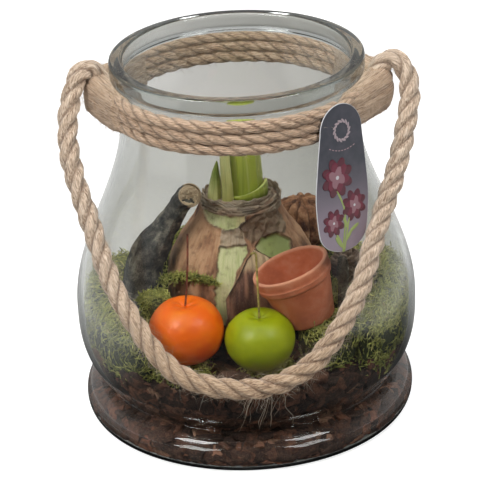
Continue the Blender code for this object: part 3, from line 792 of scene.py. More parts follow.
def stringRound(facing):  # where the string lies at each facing angle
    c = collar
    direction = np.stack([np.cos(facing), np.sin(facing)], 1)
    circles = np.array([(0, 0, vase["neckRadius"] + c["radius"] + c["clearance"])]
                       + [(x, y, c["earRadius"]) for x, y in c["ears"]])
    best = circles[np.argmax(direction @ circles[:, :2].T + circles[:, 2], axis=1)]
    return best[:, :2] + direction * best[:, 2:]


def makeFelt(side, ear, seed):
    # matted jute over an ear: a rounded upright oval carried along the string, sunk into it at both ends
    c = collar
    earAngle = math.atan2(ear[1], ear[0])
    flat = evenly(stringRound(earAngle + np.linspace(-1, 1, 900) * full / 4), 900)
    away = (np.arctan2(flat[:, 1], flat[:, 0]) - earAngle + np.pi) % full - np.pi
    flat = flat[np.abs(away) < c["feltReach"]] * 0.962
    height = np.full(len(flat), c["topRow"] - c["pitch"] - c["earDrop"])
    line = softened(evenly(np.column_stack([flat, height]), 130), 15)
    swell = np.sqrt(np.clip(1 - np.abs(np.linspace(-1, 1, len(line))) ** 3.2, 0, 1))[:, None]
    sides = 96
    turn = around(sides)[None]
    tangent, up, across = frames(line, np.array([0, 0, 1.0]))
    wide = c["feltDeep"] * (0.60 + 0.40 * swell) * squared(np.cos(turn), 0.62)
    tall = c["feltHigh"] * (0.66 + 0.34 * swell) * squared(np.sin(turn), 0.80)
    grid = line[:, None] + wide[..., None] * across[:, None] + tall[..., None] * up[:, None]
    flow = stacked(wide, tall, lengths(line)[:, None])
    rows = np.cos(full * tall / c["pitch"])
    out = unit(grid - line[:, None])
    matted = 0.0007 * cloud(flow, 0.006, seed, 2) + 0.0003 * cloud(flow, 0.0014, seed + 4, 2)
    grid = grid + out * (0.00016 * rows + matted)[..., None]

    # nothing goes into the glass, or up into the rim
    reach = np.hypot(grid[..., 0], grid[..., 1])
    glass = np.where(grid[..., 2] > vase["neckHeight"], vase["neckRadius"], bodyRadius(grid[..., 2])) + 0.0005
    grid[..., :2] *= np.maximum(1, glass / reach)[..., None]
    ceiling = np.where(reach < vase["rimRadius"] + 0.0006, vase["rimUnderside"] - 0.0004, 1)
    grid[..., 2] = np.minimum(grid[..., 2], ceiling)
    # painted shade down between the felt's rows
    marks = {"flow": flow, "valleyShade": 0.12 * (0.5 - rows / 2)}
    settle(closedTube(f"collar_felt_{side}", grid, feltJute, marks), "jute")

    rng = np.random.default_rng(seed)
    count = c["fuzz"]
    row, place = rng.integers(6, len(line) - 6, count), rng.integers(0, sides, count)
    lead = unit(tangent[row] * rng.choice([-1, 1], count)[:, None] + rng.normal(0, 0.6, (count, 3)))
    t = np.linspace(0, 1, 5)[None, :, None]
    bent = out[row, place][:, None] * (t - 0.4 * t**2) * 0.7 + lead[:, None] * t**1.4
    curve = grid[row, place][:, None] + bent * rng.uniform(0.0012, 0.0055, count)[:, None, None]
    width = np.full(count, jute["hairWidth"])
    settle(strands(f"collar_fuzz_{side}", curve, width, hairJute, rng.uniform(0.2, 1, count)), "jute")


makeCollar()
print("collar wound")


# beside the glass: the space that the bark and the moss fill

wallLine = innerWall()
wallReach = lengths(wallLine)
wallSlope = unit(np.gradient(wallLine, axis=0))
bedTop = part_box("bark_mulch")[1][2]


def besideWall(azimuth, reach, depth):
    # azimuth round the vase, reach up along the glass's inner profile, and depth in from it along its normal
    r, z = (np.interp(reach, wallReach, wallLine[:, n]) for n in range(2))
    outTo, upTo = (np.interp(reach, wallReach, wallSlope[:, n]) for n in range(2))
    return polar(r - upTo * depth, azimuth, z + outTo * depth)


def heldIn(points, margin):  # no point goes nearer to the glass than the margin
    radius = np.hypot(points[..., 0], points[..., 1])
    limit = np.interp(points[..., 2], wallLine[:, 1], wallLine[:, 0]) - margin
    share = np.minimum(1, limit / np.maximum(radius, 1e-9))
    height = np.maximum(points[..., 2], vase["floor"] + margin)
    return stacked(points[..., 0] * share, points[..., 1] * share, height)


# bark mulch

mulch = dict(
    wallChips=1500,
    topChips=420,
    dark=(0.014, 0.006, 0.004),
    brown=(0.075, 0.030, 0.017),
    red=(0.230, 0.085, 0.045),
    pale=(0.400, 0.220, 0.140),
    hollow=0.0075,  # how deep the bulb sits in it
    frontTurns=(-6, 10, -20, 25),  # of the four chunks at the front, in degrees
)


def makeMulchMaterial():
    material, tree = newMaterial("mulch_bark", Roughness=0.85)
    marks = mottled(tree, 260.0)
    body = ramp(tree, markOf(tree, "tone"), (0.0, mulch["dark"]), (0.35, mulch["brown"]), (0.8, mulch["red"]),
                (1.0, mulch["pale"]))
    patched = overlaid(tree, body, mulch["dark"], marks["Patches"], (0.40, 0.0), (0.62, 0.75))
    paint(tree, overlaid(tree, patched, mulch["pale"], marks["Grain"], (0.52, 0.0), (0.75, 0.5)))
    bumped(tree, marks["Grain"], 0.8, 0.0008)
    return material


def makeMulch():
    rng = np.random.default_rng(31)
    bark = makeMulchMaterial()
    topReach = np.interp(bedTop - 0.0015, wallLine[:, 1], wallReach)
    sides = besideWall(around(210)[None], np.linspace(0, topReach, 60)[:, None], 0.0022)
    flat = np.linspace(1, 0.01, 40)[:, None]
    edge, foot = sides[-1], sides[0]
    top = stacked(edge[:, 0] * flat, edge[:, 1] * flat, bedTop - 0.001)
    bulbAway = np.hypot(top[..., 0] - bulb["centre"][0], top[..., 1] - bulb["centre"][1])
    top[..., 2] -= mulch["hollow"] * ease((0.037 - bulbAway) / 0.006)
    under = stacked(foot[:, 0] * flat[::-1], foot[:, 1] * flat[::-1], foot[:, 2])
    grid = np.concatenate([under[:-1], sides, top[1:]])
    bumps = 0.0016 * cloud(grid, 0.006, 32, 3)
    out = unit(grid - np.array([0, 0, 0.028]))
    grid = heldIn(grid + out * bumps[..., None], 0.0006)
    tone = 0.10 + 0.10 * cloud(grid, 0.004, 33, 2)
    settle(closedTube("mulch_bed", grid, bark, {"tone": tone}), "mulch", "bark_mulch")

    # chips against the glass: long, wide and thick, laid round the wall and bent to it
    base, quads = roundForm(2)
    base = squared(base, (0.45, 0.45, 0.5))
    count, unrolled = mulch["wallChips"], 0.09
    shapes = base[None] * (1 + rng.normal(0, 0.16, (count, len(base), 3)))
    middle = np.stack([rng.uniform(-np.pi, np.pi, count) * unrolled,
                       rng.uniform(0.001, topReach + 0.004, count), rng.uniform(0.0007, 0.0030, count)], 1)
    length = rng.uniform(0.0024, 0.0085, count)
    sizes = np.stack([length, length * rng.uniform(0.3, 0.75, count), rng.uniform(0.0005, 0.0015, count)], 1)
    tones = np.clip(rng.beta(1.6, 1.9, count), 0, 1)
    bend = lambda q: besideWall(q[..., 0] / unrolled, np.clip(q[..., 1], 0, 1), np.maximum(q[..., 2], 0.0003))
    turns = anyTurns(rng, count, 0.35)
    settle(copies("mulch_chips", shapes, quads, middle, turns, sizes, bark, tones, False, bend), "mulch")

    # chips strewn over the top of the bed, evenly over its area
    count = mulch["topChips"]
    shapes = base[None] * (1 + rng.normal(0, 0.16, (count, len(base), 3)))
    turn = rng.uniform(0, full, count)
    away = 0.084 * np.sqrt(rng.uniform(0.16, 1, count))
    middle = polar(away, turn, bedTop + rng.uniform(0, 0.0030, count))
    length = rng.uniform(0.003, 0.009, count)
    sizes = np.stack([length, length * rng.uniform(0.3, 0.6, count), rng.uniform(0.0007, 0.0018, count)], 1)
    turns, tones = anyTurns(rng, count, 0.5), rng.beta(1.6, 1.9, count)
    bend = lambda q: heldIn(q, 0.0008)
    settle(copies("mulch_top_chips", shapes, quads, middle, turns, sizes, bark, tones, False, bend), "mulch")

    for n, turn in enumerate(mulch["frontTurns"], 1):
        axes, (middle, half) = turnedBy(turn), middleAndHalf(f"bark_chip_{n}")
        half = half * np.array([0.98, 0.80, 0.98])
        shape = lambda p: heldIn((squared(p, (0.55, 0.55, 0.45)) * half) @ axes + middle, 0.0010)
        bumps = ((0.0011, 0.004, 40 + n), (0.0004, 0.0015, 50 + n))
        chunk = lumpy(f"front_bark_{n}", shape, 16, bark, bumps, tone=0.30 + 0.22 * n / 4)
        settle(chunk, "mulch", f"bark_chip_{n}")


# moss

moss = dict(
    deep=(0.024, 0.028, 0.008),
    dark=(0.072, 0.085, 0.018),
    green=(0.280, 0.290, 0.048),
    light=(0.620, 0.590, 0.160),
    dry=(0.520, 0.390, 0.170),
    wallPieces=(  # where round the glass each starts and ends, its top, its depth, and its strands
        ("left", 146, 228, 0.077, 0.019, 3400),
        ("right", -43, 26, 0.080, 0.014, 3400),
        ("back", 32, 140, 0.075, 0.034, 2600),
    ),
    rise=0.35,  # how far the strands stand up from the form, and how far they lean over it
    lie=0.8,
    padPowers=(0.8, 0.8, 0.35),
    pads=(  # how each is turned, and its strands
        ("tuft", 35, 1300),
        ("orange_seat", 0, 1100),
        ("green_seat", 0, 1000),
        ("cone_seat", 0, 1200),
        ("pot_seat", 0, 1500),
    ),
)


def makeMossMaterials():
    under, tree = newMaterial("moss_under", Roughness=0.95)
    marks = mottled(tree, 220.0)
    paint(tree, ramp(tree, marks["Grain"], (0.35, moss["deep"]), (0.7, moss["dark"])))
    bumped(tree, marks["Grain"], 1.0, 0.001)

    leafy, tree = newMaterial("moss_strands", Roughness=0.65)
    tone, along = markOf(tree, "tone"), markOf(tree, "along")
    body = ramp(tree, tone, (0.0, moss["dark"]), (0.45, moss["green"]), (0.85, moss["light"]),
                (1.0, moss["dry"]))
    # painted shade: the strands darker low down near their roots, in among the others; paler towards their
    # tips
    rootShade = overlaid(tree, body, moss["deep"], along, (0.0, 0.65), (0.45, 0.0))
    paint(tree, overlaid(tree, rootShade, moss["light"], along, (0.6, 0.0), (1.0, 0.35)))
    return under, leafy


def tuftOn(name, shape, count, reach, width, seed, material):
    # strands that start on a form and lean over it, and the ones that reach the glass lie flat on it
    rng = np.random.default_rng(seed)
    directions = unit(rng.normal(0, 1, (count, 3)) + np.array([0, 0, 0.35]))
    place, normal = onForm(shape, directions)
    sway = unit(rng.normal(0, 1, (count, 3)) + np.array([0, 0, 0.25]))
    sway = unit(sway - normal * np.sum(sway * normal, axis=1, keepdims=True))
    clump = cloud(place, 0.012, seed, 2)[:, None]
    heading = unit(sway + np.array([1, -1, 0.3]) * clump * 1.2)
    length = reach * rng.uniform(0.45, 1.1, count) * (1 + 0.35 * clump[:, 0])
    t = np.linspace(0, 1, 6)[None, :, None]
    out = normal[:, None] * (t * (1.3 - t)) * moss["rise"]
    over = heading[:, None] * t * moss["lie"]
    phase = rng.uniform(0, full, count)[:, None, None]
    curl = np.cross(normal, heading)[:, None] * np.sin(3 * t + phase) * 0.12
    lines = (place - normal * 0.0008)[:, None] + (out + over + curl) * length[:, None, None]
    lines = heldIn(lines, 0.0007)
    tone = np.clip(0.46 + 0.26 * clump[:, 0] + rng.normal(0, 0.19, count), 0, 1)
    leaflets = lambda share: 0.62 + 0.38 * np.cos(full * 2.5 * share)
    return strands(name, lines, width * rng.uniform(0.6, 1.2, count), material, tone, leaflets)


def makeMoss():
    under, leafy = makeMossMaterials()
    floor = bedTop + 0.0003
    for seed, (side, start, end, top, depth, count) in enumerate(moss["wallPieces"], 60):
        def shape(p):  # azimuth, depth and height each follow one axis of a box with rounded sides
            u, v, w = np.moveaxis(squared(p, (0.75, 0.6, 0.4)), -1, 0)
            azimuth = np.radians((start + end) / 2 - u * (end - start) / 2)
            height = floor - 0.006 * (1 - w) / 2 + (w + 1) / 2 * (top - floor)
            radius = np.interp(height, wallLine[:, 1], wallLine[:, 0]) - 0.0014 - (1 - v) / 2 * depth
            return polar(radius, azimuth, height)

        bumps = ((0.0016, 0.012, seed), (0.0006, 0.003, seed + 20))
        pad = lumpy(f"moss_{side}_base", shape, 34, under, bumps, fit=lambda p: heldIn(p, 0.0012))
        settle(pad, "moss", f"moss_{side}")
        settle(tuftOn(f"moss_{side}_strands", shape, count, 0.013, 0.00055, seed, leafy), "moss")

    for seed, (name, turn, count) in enumerate(moss["pads"], 70):
        axes, (middle, half) = turnedBy(turn), middleAndHalf(f"moss_{name}")
        shape = lambda p: (squared(p, moss["padPowers"]) * half * 0.93) @ axes + middle
        bumps = ((0.0010, 0.008, seed), (0.0005, 0.003, seed + 20))
        settle(lumpy(f"moss_{name}_base", shape, 20, under, bumps), "moss", f"moss_{name}")
        settle(tuftOn(f"moss_{name}_strands", shape, count, 0.0085, 0.00050, seed, leafy), "moss")

    def ledge(p):  # a thin shelf of strands across the bulb's left side
        along, out, up = np.moveaxis(squared(p, (0.8, 0.9, 0.9)), -1, 0)
        return stacked(-0.0335 - 0.0168 * along, -0.0292 + 0.0098 * along + 0.0018 * out,
                       0.0935 - 0.0032 * along * (1 + along) + 0.0015 * up)

    settle(lumpy("moss_ledge_base", ledge, 16, under, ((0.0006, 0.003, 78),)), "moss")
    settle(tuftOn("moss_ledge_strands", ledge, 520, 0.0062, 0.00042, 79, leafy), "moss")


# sheets and edgings

def thinShell(name, grid, thickness, material, marks=None):
    # a sheet given as a grid, thickened to both sides along its normals and closed round its border
    rows, cols = grid.shape[:2]
    across, down = np.gradient(grid, axis=1), np.gradient(grid, axis=0)
    normal = unit(np.cross(across, down))
    half = np.broadcast_to(np.asarray(thickness, float), (rows, cols))[..., None] / 2
    points = np.vstack([(grid + normal * half).reshape(-1, 3), (grid - normal * half).reshape(-1, 3)])
    count = rows * cols
    front = gridQuads(rows, cols, wrap=False)
    index = np.arange(count).reshape(rows, cols)
    border = np.concatenate([index[0, :-1], index[:-1, -1], index[-1, :0:-1], index[:0:-1, 0]])
    after = np.roll(border, -1)
    sides = np.stack([after, border, border + count, after + count], 1)
    quads = outward(points, np.vstack([front, front[:, ::-1] + count, sides]))[0]
    doubled = {}
    for key, values in (marks or {}).items():
        flat = np.asarray(values, float).reshape((count,) + np.shape(values)[2:])
        doubled[key] = np.concatenate([flat, flat])
    return makePiece(name, points, quads, material, doubled)


def closedLoop(name, line, normals, radii, sides, material):
    # a thin edging along a closed line: an ellipse carried round it, radii being across and along the normal
    tangent = unit(np.roll(line, -1, 0) - np.roll(line, 1, 0))
    points = line[:, None] + rings(around(sides), radii[0] * np.cross(tangent, normals), radii[1] * normals)
    quads = gridQuads(len(line) + 1, sides) % (len(line) * sides)  # the last row is the first again
    points = points.reshape(-1, 3)
    return makePiece(name, points, outward(points, quads)[0], material)


# hang card

card = dict(
    azimuth=math.radians(-50),
    slope=0.140,
    turn=math.radians(-7),
    top=0.2065,
    length=0.0835,
    thickness=0.0007,
    shift=0.0095,
    headRadius=0.0154,
    flanks=((0.0154, 0.0154), (0.032, 0.0176), (0.050, 0.0194), (0.062, 0.0190), (0.072, 0.0178)),
    footHeight=0.014,
    bow=0.00048,  # how far its edges bend back
    halfWidth=0.019,
    slate=(0.030, 0.034, 0.050),
    mauve=(0.270, 0.220, 0.270),
    paper=(0.62, 0.62, 0.64),
    wine=(0.070, 0.003, 0.014),
    rose=(0.190, 0.012, 0.040),
    stalk=(0.300, 0.380, 0.110),
    stalks=(
        ((-0.001, -0.083), (0.001, -0.062), (-0.005, -0.047)),
        ((0.000, -0.083), (0.004, -0.066), (0.008, -0.058)),
        ((0.000, -0.083), (-0.005, -0.074), (-0.0095, -0.068)),
    ),
    blooms=((-0.0040, -0.0410, 0.0112), (0.0080, -0.0585, 0.0090), (-0.0074, -0.0665, 0.0078)),
    petals=((8, 0.62, 0.45), (6, 0.40, 0.62), (4, 0.18, 0.80)),  # how many, how far out and which tone
    leaves=((0.0035, -0.075, 0.9), (-0.004, -0.078, 2.2), (0.0075, -0.0715, 0.5), (0.0015, -0.068, 2.0)),
)


def cardHalf(y):  # half the card's width at a distance below its top: round head, wider flanks, round foot
    curve = card["headRadius"]
    head = curve * np.sqrt(np.clip(1 - (1 - np.minimum(y, curve) / curve) ** 2, 0, 1))
    flanks = smoothLine(card["flanks"], 60)
    low = np.clip((y - (card["length"] - card["footHeight"])) / card["footHeight"], 0, 1)
    body = np.interp(y, flanks[:, 0], flanks[:, 1]) * np.sqrt(np.clip(1 - low**2.4, 0, 1))
    return np.where(y < curve, head, body)


def bowed(x):  # how far back the card's face is, away from its middle line
    return card["bow"] * (x / card["halfWidth"]) ** 2


def onCard(flat):  # from the card's own plane (right, up, out of its face) to its place against the collar
    away = np.array([math.cos(card["azimuth"]), math.sin(card["azimuth"]), 0])
    facing = unit(away + np.array([0, 0, card["slope"]]))
    across = np.array([-math.sin(card["azimuth"]), math.cos(card["azimuth"]), 0])
    up = np.cross(facing, across)
    clear = vase["neckRadius"] + collar["clearance"] + 2 * collar["radius"] + 0.0003 + card["thickness"] / 2
    seat = away * clear + np.array([0, 0, collar["topRow"]])
    middle = seat + up * (card["top"] - collar["topRow"]) + across * card["shift"] + facing * 0.0001
    c, s = math.cos(card["turn"]), math.sin(card["turn"])
    x, y = flat[..., 0] * c - flat[..., 1] * s, flat[..., 0] * s + flat[..., 1] * c
    return middle + x[..., None] * across + y[..., None] * up + flat[..., 2:] * facing


def makeCardFace():
    face, tree = newMaterial("card_print", Roughness=0.32, Coat_Weight=0.25)
    place = markOf(tree, "flat", "Vector")
    axes = node(tree, "ShaderNodeSeparateXYZ", {"Vector": place})
    blend = rescaled(tree, axes.outputs["Y"], -0.030, -0.075, how="SMOOTHSTEP")
    soft = blendColours(tree, blend, card["slate"], card["mauve"])
    paint(tree, overlaid(tree, soft, card["mauve"], noise(tree, place, 140.0, 4.0), (0.4, 0.0), (0.75, 0.12)))
    bumped(tree, noise(tree, place, 2500.0, 2.0), 0.15, 0.0001)
    return face


def makeCard():
    # the board is a flat tube whose rings run across the card, over its front and back
    down = card["length"] * (1 - np.cos(np.linspace(0.02, np.pi - 0.03, 110))) / 2
    across = np.sin(np.linspace(-np.pi / 2, np.pi / 2, 31))
    half = cardHalf(down)[:, None] - 0.00025
    depth = np.repeat([0.5, -0.5], 31) * card["thickness"]
    x = half * np.concatenate([across, across[::-1]])
    flat = stacked(x, -down[:, None], depth - bowed(x))
    settle(closedTube("card_board", onCard(flat), makeCardFace(), {"flat": flat}), "card", "hang_card")

    white = newMaterial("card_edge", Base_Color=(*card["paper"], 1), Roughness=0.6)[0]
    y = card["length"] * (1 - np.cos(np.linspace(0.0, np.pi, 120))) / 2
    right = np.stack([cardHalf(y), -y], 1)
    line = np.vstack([right, (right * np.array([-1, 1]))[-2:0:-1]])
    line = evenly(np.vstack([line, line[:1]]), 261)[:-1]
    edge = onCard(stacked(line[:, 0] * 0.992, line[:, 1], -bowed(line[:, 0])))
    facing = unit(onCard(stacked(*line.T, 0.01)) - onCard(stacked(*line.T, 0.0)))
    settle(closedLoop("card_rim", edge, facing, (0.00022, 0.00038), 8, white), "card")
    makeCardPrint()


def makeCardPrint():
    # a sprig of round, layered blooms on curved stalks, printed as thin ovals of ink
    ink, tree = newMaterial("card_ink", Roughness=0.35, Coat_Weight=0.2)
    paint(tree, ramp(tree, markOf(tree, "tone"), (0.0, card["stalk"]), (0.30, card["stalk"]),
                     (0.40, card["wine"]), (0.75, card["rose"]), (1.0, card["paper"])))
    base, quads = roundForm(4)
    spots, sizes, turns, tones = [], [], [], []

    def oval(x, y, long, wide, turn, tone, level):
        spots.append((x, y, 0.00040 + 0.00004 * level - 0.0005 * (x / card["halfWidth"]) ** 2))
        sizes.append((long, wide, 0.00010))
        turns.append(turn)
        tones.append(tone)

    for stalk in card["stalks"]:
        for x, y in smoothLine(stalk, 26):
            oval(x, y, 0.0011, 0.0006, math.pi / 2, 0.1, 0)
    for x, y, size in card["blooms"]:
        for layer, (count, reach, tone) in enumerate(card["petals"], 1):
            for a in around(count) + 0.4 * layer:
                away = size * reach
                oval(x + away * math.cos(a), y + away * math.sin(a), size * 0.42, size * 0.27, a, tone, layer)
        oval(x, y, size * 0.13, size * 0.13, 0, 0.98, 4)
    for x, y, turn in card["leaves"]:
        oval(x, y, 0.0042, 0.0011, turn, 0.05, 1)
    for a in around(14):  # a pale wreath above the flowers, over a garland of dashes
        oval(0.0001 + 0.0054 * math.cos(a), -0.0150 + 0.0054 * math.sin(a), 0.0018, 0.0007, a + 1.0, 0.88, 1)
    for n in range(-4, 5):
        oval(0.0022 * n, -0.0262 + 0.00012 * n * n, 0.0008, 0.0003, 0.11 * n, 0.84, 1)
    turns = np.array(turns)
    right, up = polar(1.0, turns, 0.0), polar(1.0, turns + np.pi / 2, 0.0)
    axes = np.stack([right, up, np.cross(right, up)], 1)
    spots, sizes, tones = (np.array(values) for values in (spots, sizes, tones))
    settle(copies("card_sprig", base, quads, spots, axes, sizes, ink, tones, True, onCard), "card")


# bark: the stick, the upright strip and a twig

bark = dict(
    dark=(0.018, 0.018, 0.018),
    grey=(0.068, 0.062, 0.052),
    pale=(0.240, 0.215, 0.165),
    lichen=(0.240, 0.260, 0.180),
    wood=(0.600, 0.440, 0.260),
    woodDark=(0.260, 0.150, 0.075),
    woodPale=(0.78, 0.64, 0.44),
    route=(
        (-0.0625, -0.0150, 0.0474), (-0.0622, -0.0150, 0.0600), (-0.0614, -0.0146, 0.0740),
        (-0.0600, -0.0136, 0.0880), (-0.0560, -0.0126, 0.1000), (-0.0496, -0.0122, 0.1110),
        (-0.0424, -0.0124, 0.1228), (-0.0366, -0.0134, 0.1322), (-0.0322, -0.0158, 0.1380),
        (-0.0304, -0.0200, 0.1412), (-0.0302, -0.0240, 0.1432),
    ),
    radius=0.012,
    shares=(1.0, 1.0, 1.0, 0.98, 0.94, 0.86, 0.76, 0.66, 0.58, 0.54, 0.53),  # of the radius, along the route
)


def makeBarkMaterial():
    material, tree = newMaterial("stick_bark", Roughness=0.92)
    marks = mottled(tree, 150.0)
    body = ramp(tree, marks["Patches"], (0.36, bark["dark"]), (0.50, bark["grey"]), (0.66, bark["pale"]))
    spotted = overlaid(tree, body, bark["lichen"], marks["Spots"], (0.55, 0.0), (0.9, 0.55))
    paint(tree, overlaid(tree, spotted, bark["dark"], marks["Grain"], (0.30, 0.8), (0.48, 0.0)))
    bumped(tree, marks["Grain"], 0.9, 0.0012)
    return material


def makeCutWood():
    material, tree = newMaterial("cut_wood", Roughness=0.85)
    marks = mottled(tree, 420.0)
    stops = (0.40, bark["woodDark"]), (0.5, bark["wood"]), (0.64, bark["woodPale"])
    paint(tree, ramp(tree, marks["Grain"], *stops))
    bumped(tree, marks["Grain"], 1.0, 0.0008)
    return material


def makeStick():
    crust, wood = makeBarkMaterial(), makeCutWood()
    rows = 220
    line = smoothLine(bark["route"], rows)
    share = np.interp(np.linspace(0, 1, rows), np.linspace(0, 1, len(bark["shares"])), bark["shares"])
    tangent, side, other = frames(line, np.array([0, -1.0, 0.2]))
    angle = around(108)
    ring = rings(angle, side, other)
    points = line[:, None] + ring * (bark["radius"] * share)[:, None, None]
    flat = polar(bark["radius"], angle, lengths(line)[:, None] * 0.35)
    ridges = 0.0018 * cloud(flat, 0.0040, 81, 4) + 0.0018 * cloud(points, 0.012, 82, 2)
    knots = 0.0022 * np.clip(cloud(points, 0.017, 83, 1) - 0.45, 0, 1)
    points = points + ring * (ridges + knots - 0.0006)[..., None]
    settle(closedTube("stick_bark", points, crust), "bark", "bark_stick")

    # the cut end is a rough disc, and a collar of torn bark stands round part of it
    end, facing = line[-1], tangent[-1]
    radius = bark["radius"] * share[-1]
    away = np.linspace(1, 0.02, 26)[:, None]
    face = end + facing * 0.0004 + away[..., None] * radius * 0.93 * rings(angle, side[-1:], other[-1:])
    rough = 0.0016 * cloud(face, 0.0016, 84, 3) + 0.0022 * cloud(face, 0.005, 85, 1)
    face = face + facing * (rough * np.minimum(1, (1 - away) * 6) + 0.0006)[..., None]
    root = end - facing * 0.003 + 0.90 * (face[:1] - end - facing * 0.001)
    settle(closedTube("stick_cut_end", np.concatenate([root, face]), wood), "bark")

    sweep, rise = np.linspace(0.15, 1.35, 30), np.linspace(0, 1, 16)[:, None]
    a = sweep * np.pi - 0.5
    jagged = 0.7 + 0.3 * np.sin(5 * a) + 0.2 * np.cos(11 * a)
    tear = 0.0032 * rise * jagged * np.sin((sweep - 0.15) / 1.2 * np.pi)
    reach = radius * (0.98 + 0.10 * rise)
    flap = end + facing * tear[..., None] + reach[..., None] * rings(a, side[-1:], other[-1:])
    settle(thinShell("stick_torn_bark", flap, 0.0006, wood), "bark")

    middle, half = middleAndHalf("bark_strip")
    half = half * np.array([0.96, 0.92, 0.99])
    bumps = ((0.0009, 0.004, 86), (0.0005, 0.0016, 87))
    strip = lumpy("upright_bark", lambda p: squared(p, (0.55, 0.6, 0.3)) * half + middle, 30, crust, bumps)
    settle(strip, "bark", "bark_strip")


# apples and their wires

apple = dict(
    dimple=0.0040,
    orange=dict(
        half=0.0193,  # half its height
        height=0.0750,  # of its middle
        skin=((0.84, 0.125, 0.002), (0.60, 0.022, 0.004), (0.95, 0.34, 0.004)),
        redAndShadeReach=0.45,
        seed=91,
        wire=(0.190, 0.050, 0.030),
    ),
    green=dict(
        half=0.0171,
        height=0.0715,
        skin=((0.28, 0.320, 0.002), (0.19, 0.20, 0.002), (0.50, 0.50, 0.02)),
        redAndShadeReach=0.35,
        seed=92,
        wire=(0.420, 0.330, 0.090),
    ),
)


def makeAppleSkin(colour):
    material, tree = newMaterial(f"{colour}_fruit_skin", Roughness=0.40, Specular_IOR_Level=0.35,
                                 Coat_Weight=0.10, Coat_Roughness=0.10,
                                 Subsurface_Weight=0.06, Subsurface_Radius=(0.004, 0.002, 0.001))
    skin, redAndShade, flecked = apple[colour]["skin"]
    share = markOf(tree, "share")
    marks = mottled(tree, 90.0)
    # painted shade with a real blush: the skin darker and redder low down and to the right
    body = overlaid(tree, skin, redAndShade, share, (0.0, 1.0), (apple[colour]["redAndShadeReach"], 0.0))
    veined = overlaid(tree, body, flecked, marks["Patches"], (0.45, 0.0), (0.75, 0.35))
    paint(tree, overlaid(tree, veined, flecked, marks["Spots"], (0.7, 0.0), (1.0, 0.35)))
    bumped(tree, marks["Patches"], 0.10, 0.0006)
    return material


def makeApple(colour):
    # r = R sin(a)^0.92 and z = H cos(a), less a bell-shaped dimple at the top and half of one underneath
    size = apple[colour]
    half, seed, name = size["half"], size["seed"], f"{colour}_apple"
    middle, box = middleAndHalf(name)
    radius, centre = box[0], np.array([middle[0], middle[1], size["height"]])
    a = np.linspace(0.015, np.pi - 0.015, 110)[:, None]
    r = radius * np.sin(a) ** 0.92
    near = np.exp(-((r / (0.30 * radius)) ** 2))
    z = half * np.cos(a) - apple["dimple"] * near * np.where(a < np.pi / 2, 1.0, -0.5)
    turn = around(120)
    lobes = np.cos(5 * turn + seed)
    grid = polar(r * (1 + 0.012 * lobes * np.sin(a) ** 2), turn, z + 0.0006 * lobes * near) + centre
    grid = grid + unit(grid - centre) * (0.00025 * cloud(grid, 0.012, seed, 2))[..., None]
    share = (1 + np.cos(a)) / 2 - 0.20 * np.sin(a) * np.cos(turn)  # redder and darker low down and to the right: partly the orange's own blush, partly painted shade
    fruit = closedTube(f"{colour}_fruit", grid, makeAppleSkin(colour), {"share": share})
    settle(fruit, f"{colour}_skin", name)
    return centre + np.array([0, 0, half - apple["dimple"] + 0.0003])


def makeWire(colour, line, slot):
    tint = apple[colour]["wire"]
    material, tree = newMaterial(f"{colour}_fruit_wire_coat", Roughness=0.55)
    marks = mottled(tree, 300.0)
    dark, worn = tuple(c * 0.5 for c in tint), tuple(min(1.0, c * 1.9) for c in tint)
    paint(tree, ramp(tree, marks["Patches"], (0.35, dark), (0.5, tint), (0.7, worn)))
    bumped(tree, marks["Grain"], 0.5, 0.0003)
    side, other = frames(line, np.array([0.02, -1.0, 0.05]))[1:]
    radius = 0.00058 * (1 + 0.12 * cloud(line, 0.003, 95, 2))
    points = line[:, None] + rings(around(14), side, other) * radius[:, None, None]
    settle(closedTube(f"{colour}_fruit_wire", points, material), slot, f"{colour}_wire")


def makeApples():
    seat = makeApple("orange")
    t = np.linspace(0, 1, 50)[:, None]
    rise = seat + np.array([0.0034, 0.0012, 0.0443]) * t + np.array([0.0005, 0, 0]) * np.sin(np.pi * t)
    makeWire("orange", rise, "red_wire")
    seat = makeApple("green")
    straight = seat + np.array([-0.0004, 0, 0.0379]) * np.linspace(0, 1, 40)[:, None]
    a = np.linspace(0.3, 3.0, 12)
    hook = seat + np.array([-0.0019, 0, 0.0393]) + 0.0015 * stacked(np.cos(a), 0.0, np.sin(a))
    makeWire("green", evenly(np.vstack([straight, hook]), 70), "olive_wire")


# clay pot

pot = dict(
    foot=(0.0366, -0.0520, 0.0752),
    axis=(-0.330, 0.034, 0.943),
    height=0.0358,
    rim=0.0224,
    footRadius=0.0132,
    band=0.0097,
    wall=0.0022,
    clay=(0.540, 0.145, 0.062),
    pale=(0.640, 0.270, 0.160),
    dark=(0.360, 0.095, 0.045),
)


def makePotClay():
    clay, tree = newMaterial("pot_clay", Roughness=0.9)
    marks = mottled(tree, 110.0)
    body = ramp(tree, marks["Patches"], (0.36, pot["dark"]), (0.5, pot["clay"]), (0.68, pot["pale"]))
    body = blendColours(tree, 0.55, body, pot["clay"])
    grained = overlaid(tree, body, pot["pale"], marks["Grain"], (0.55, 0.0), (0.75, 0.25))
    # paler on the rims, edges and ridges that the profile marks
    paint(tree, blendColours(tree, markOf(tree, "edge"), grained, pot["pale"]))
    bumped(tree, marks["Grain"], 0.5, 0.0005)
    return clay


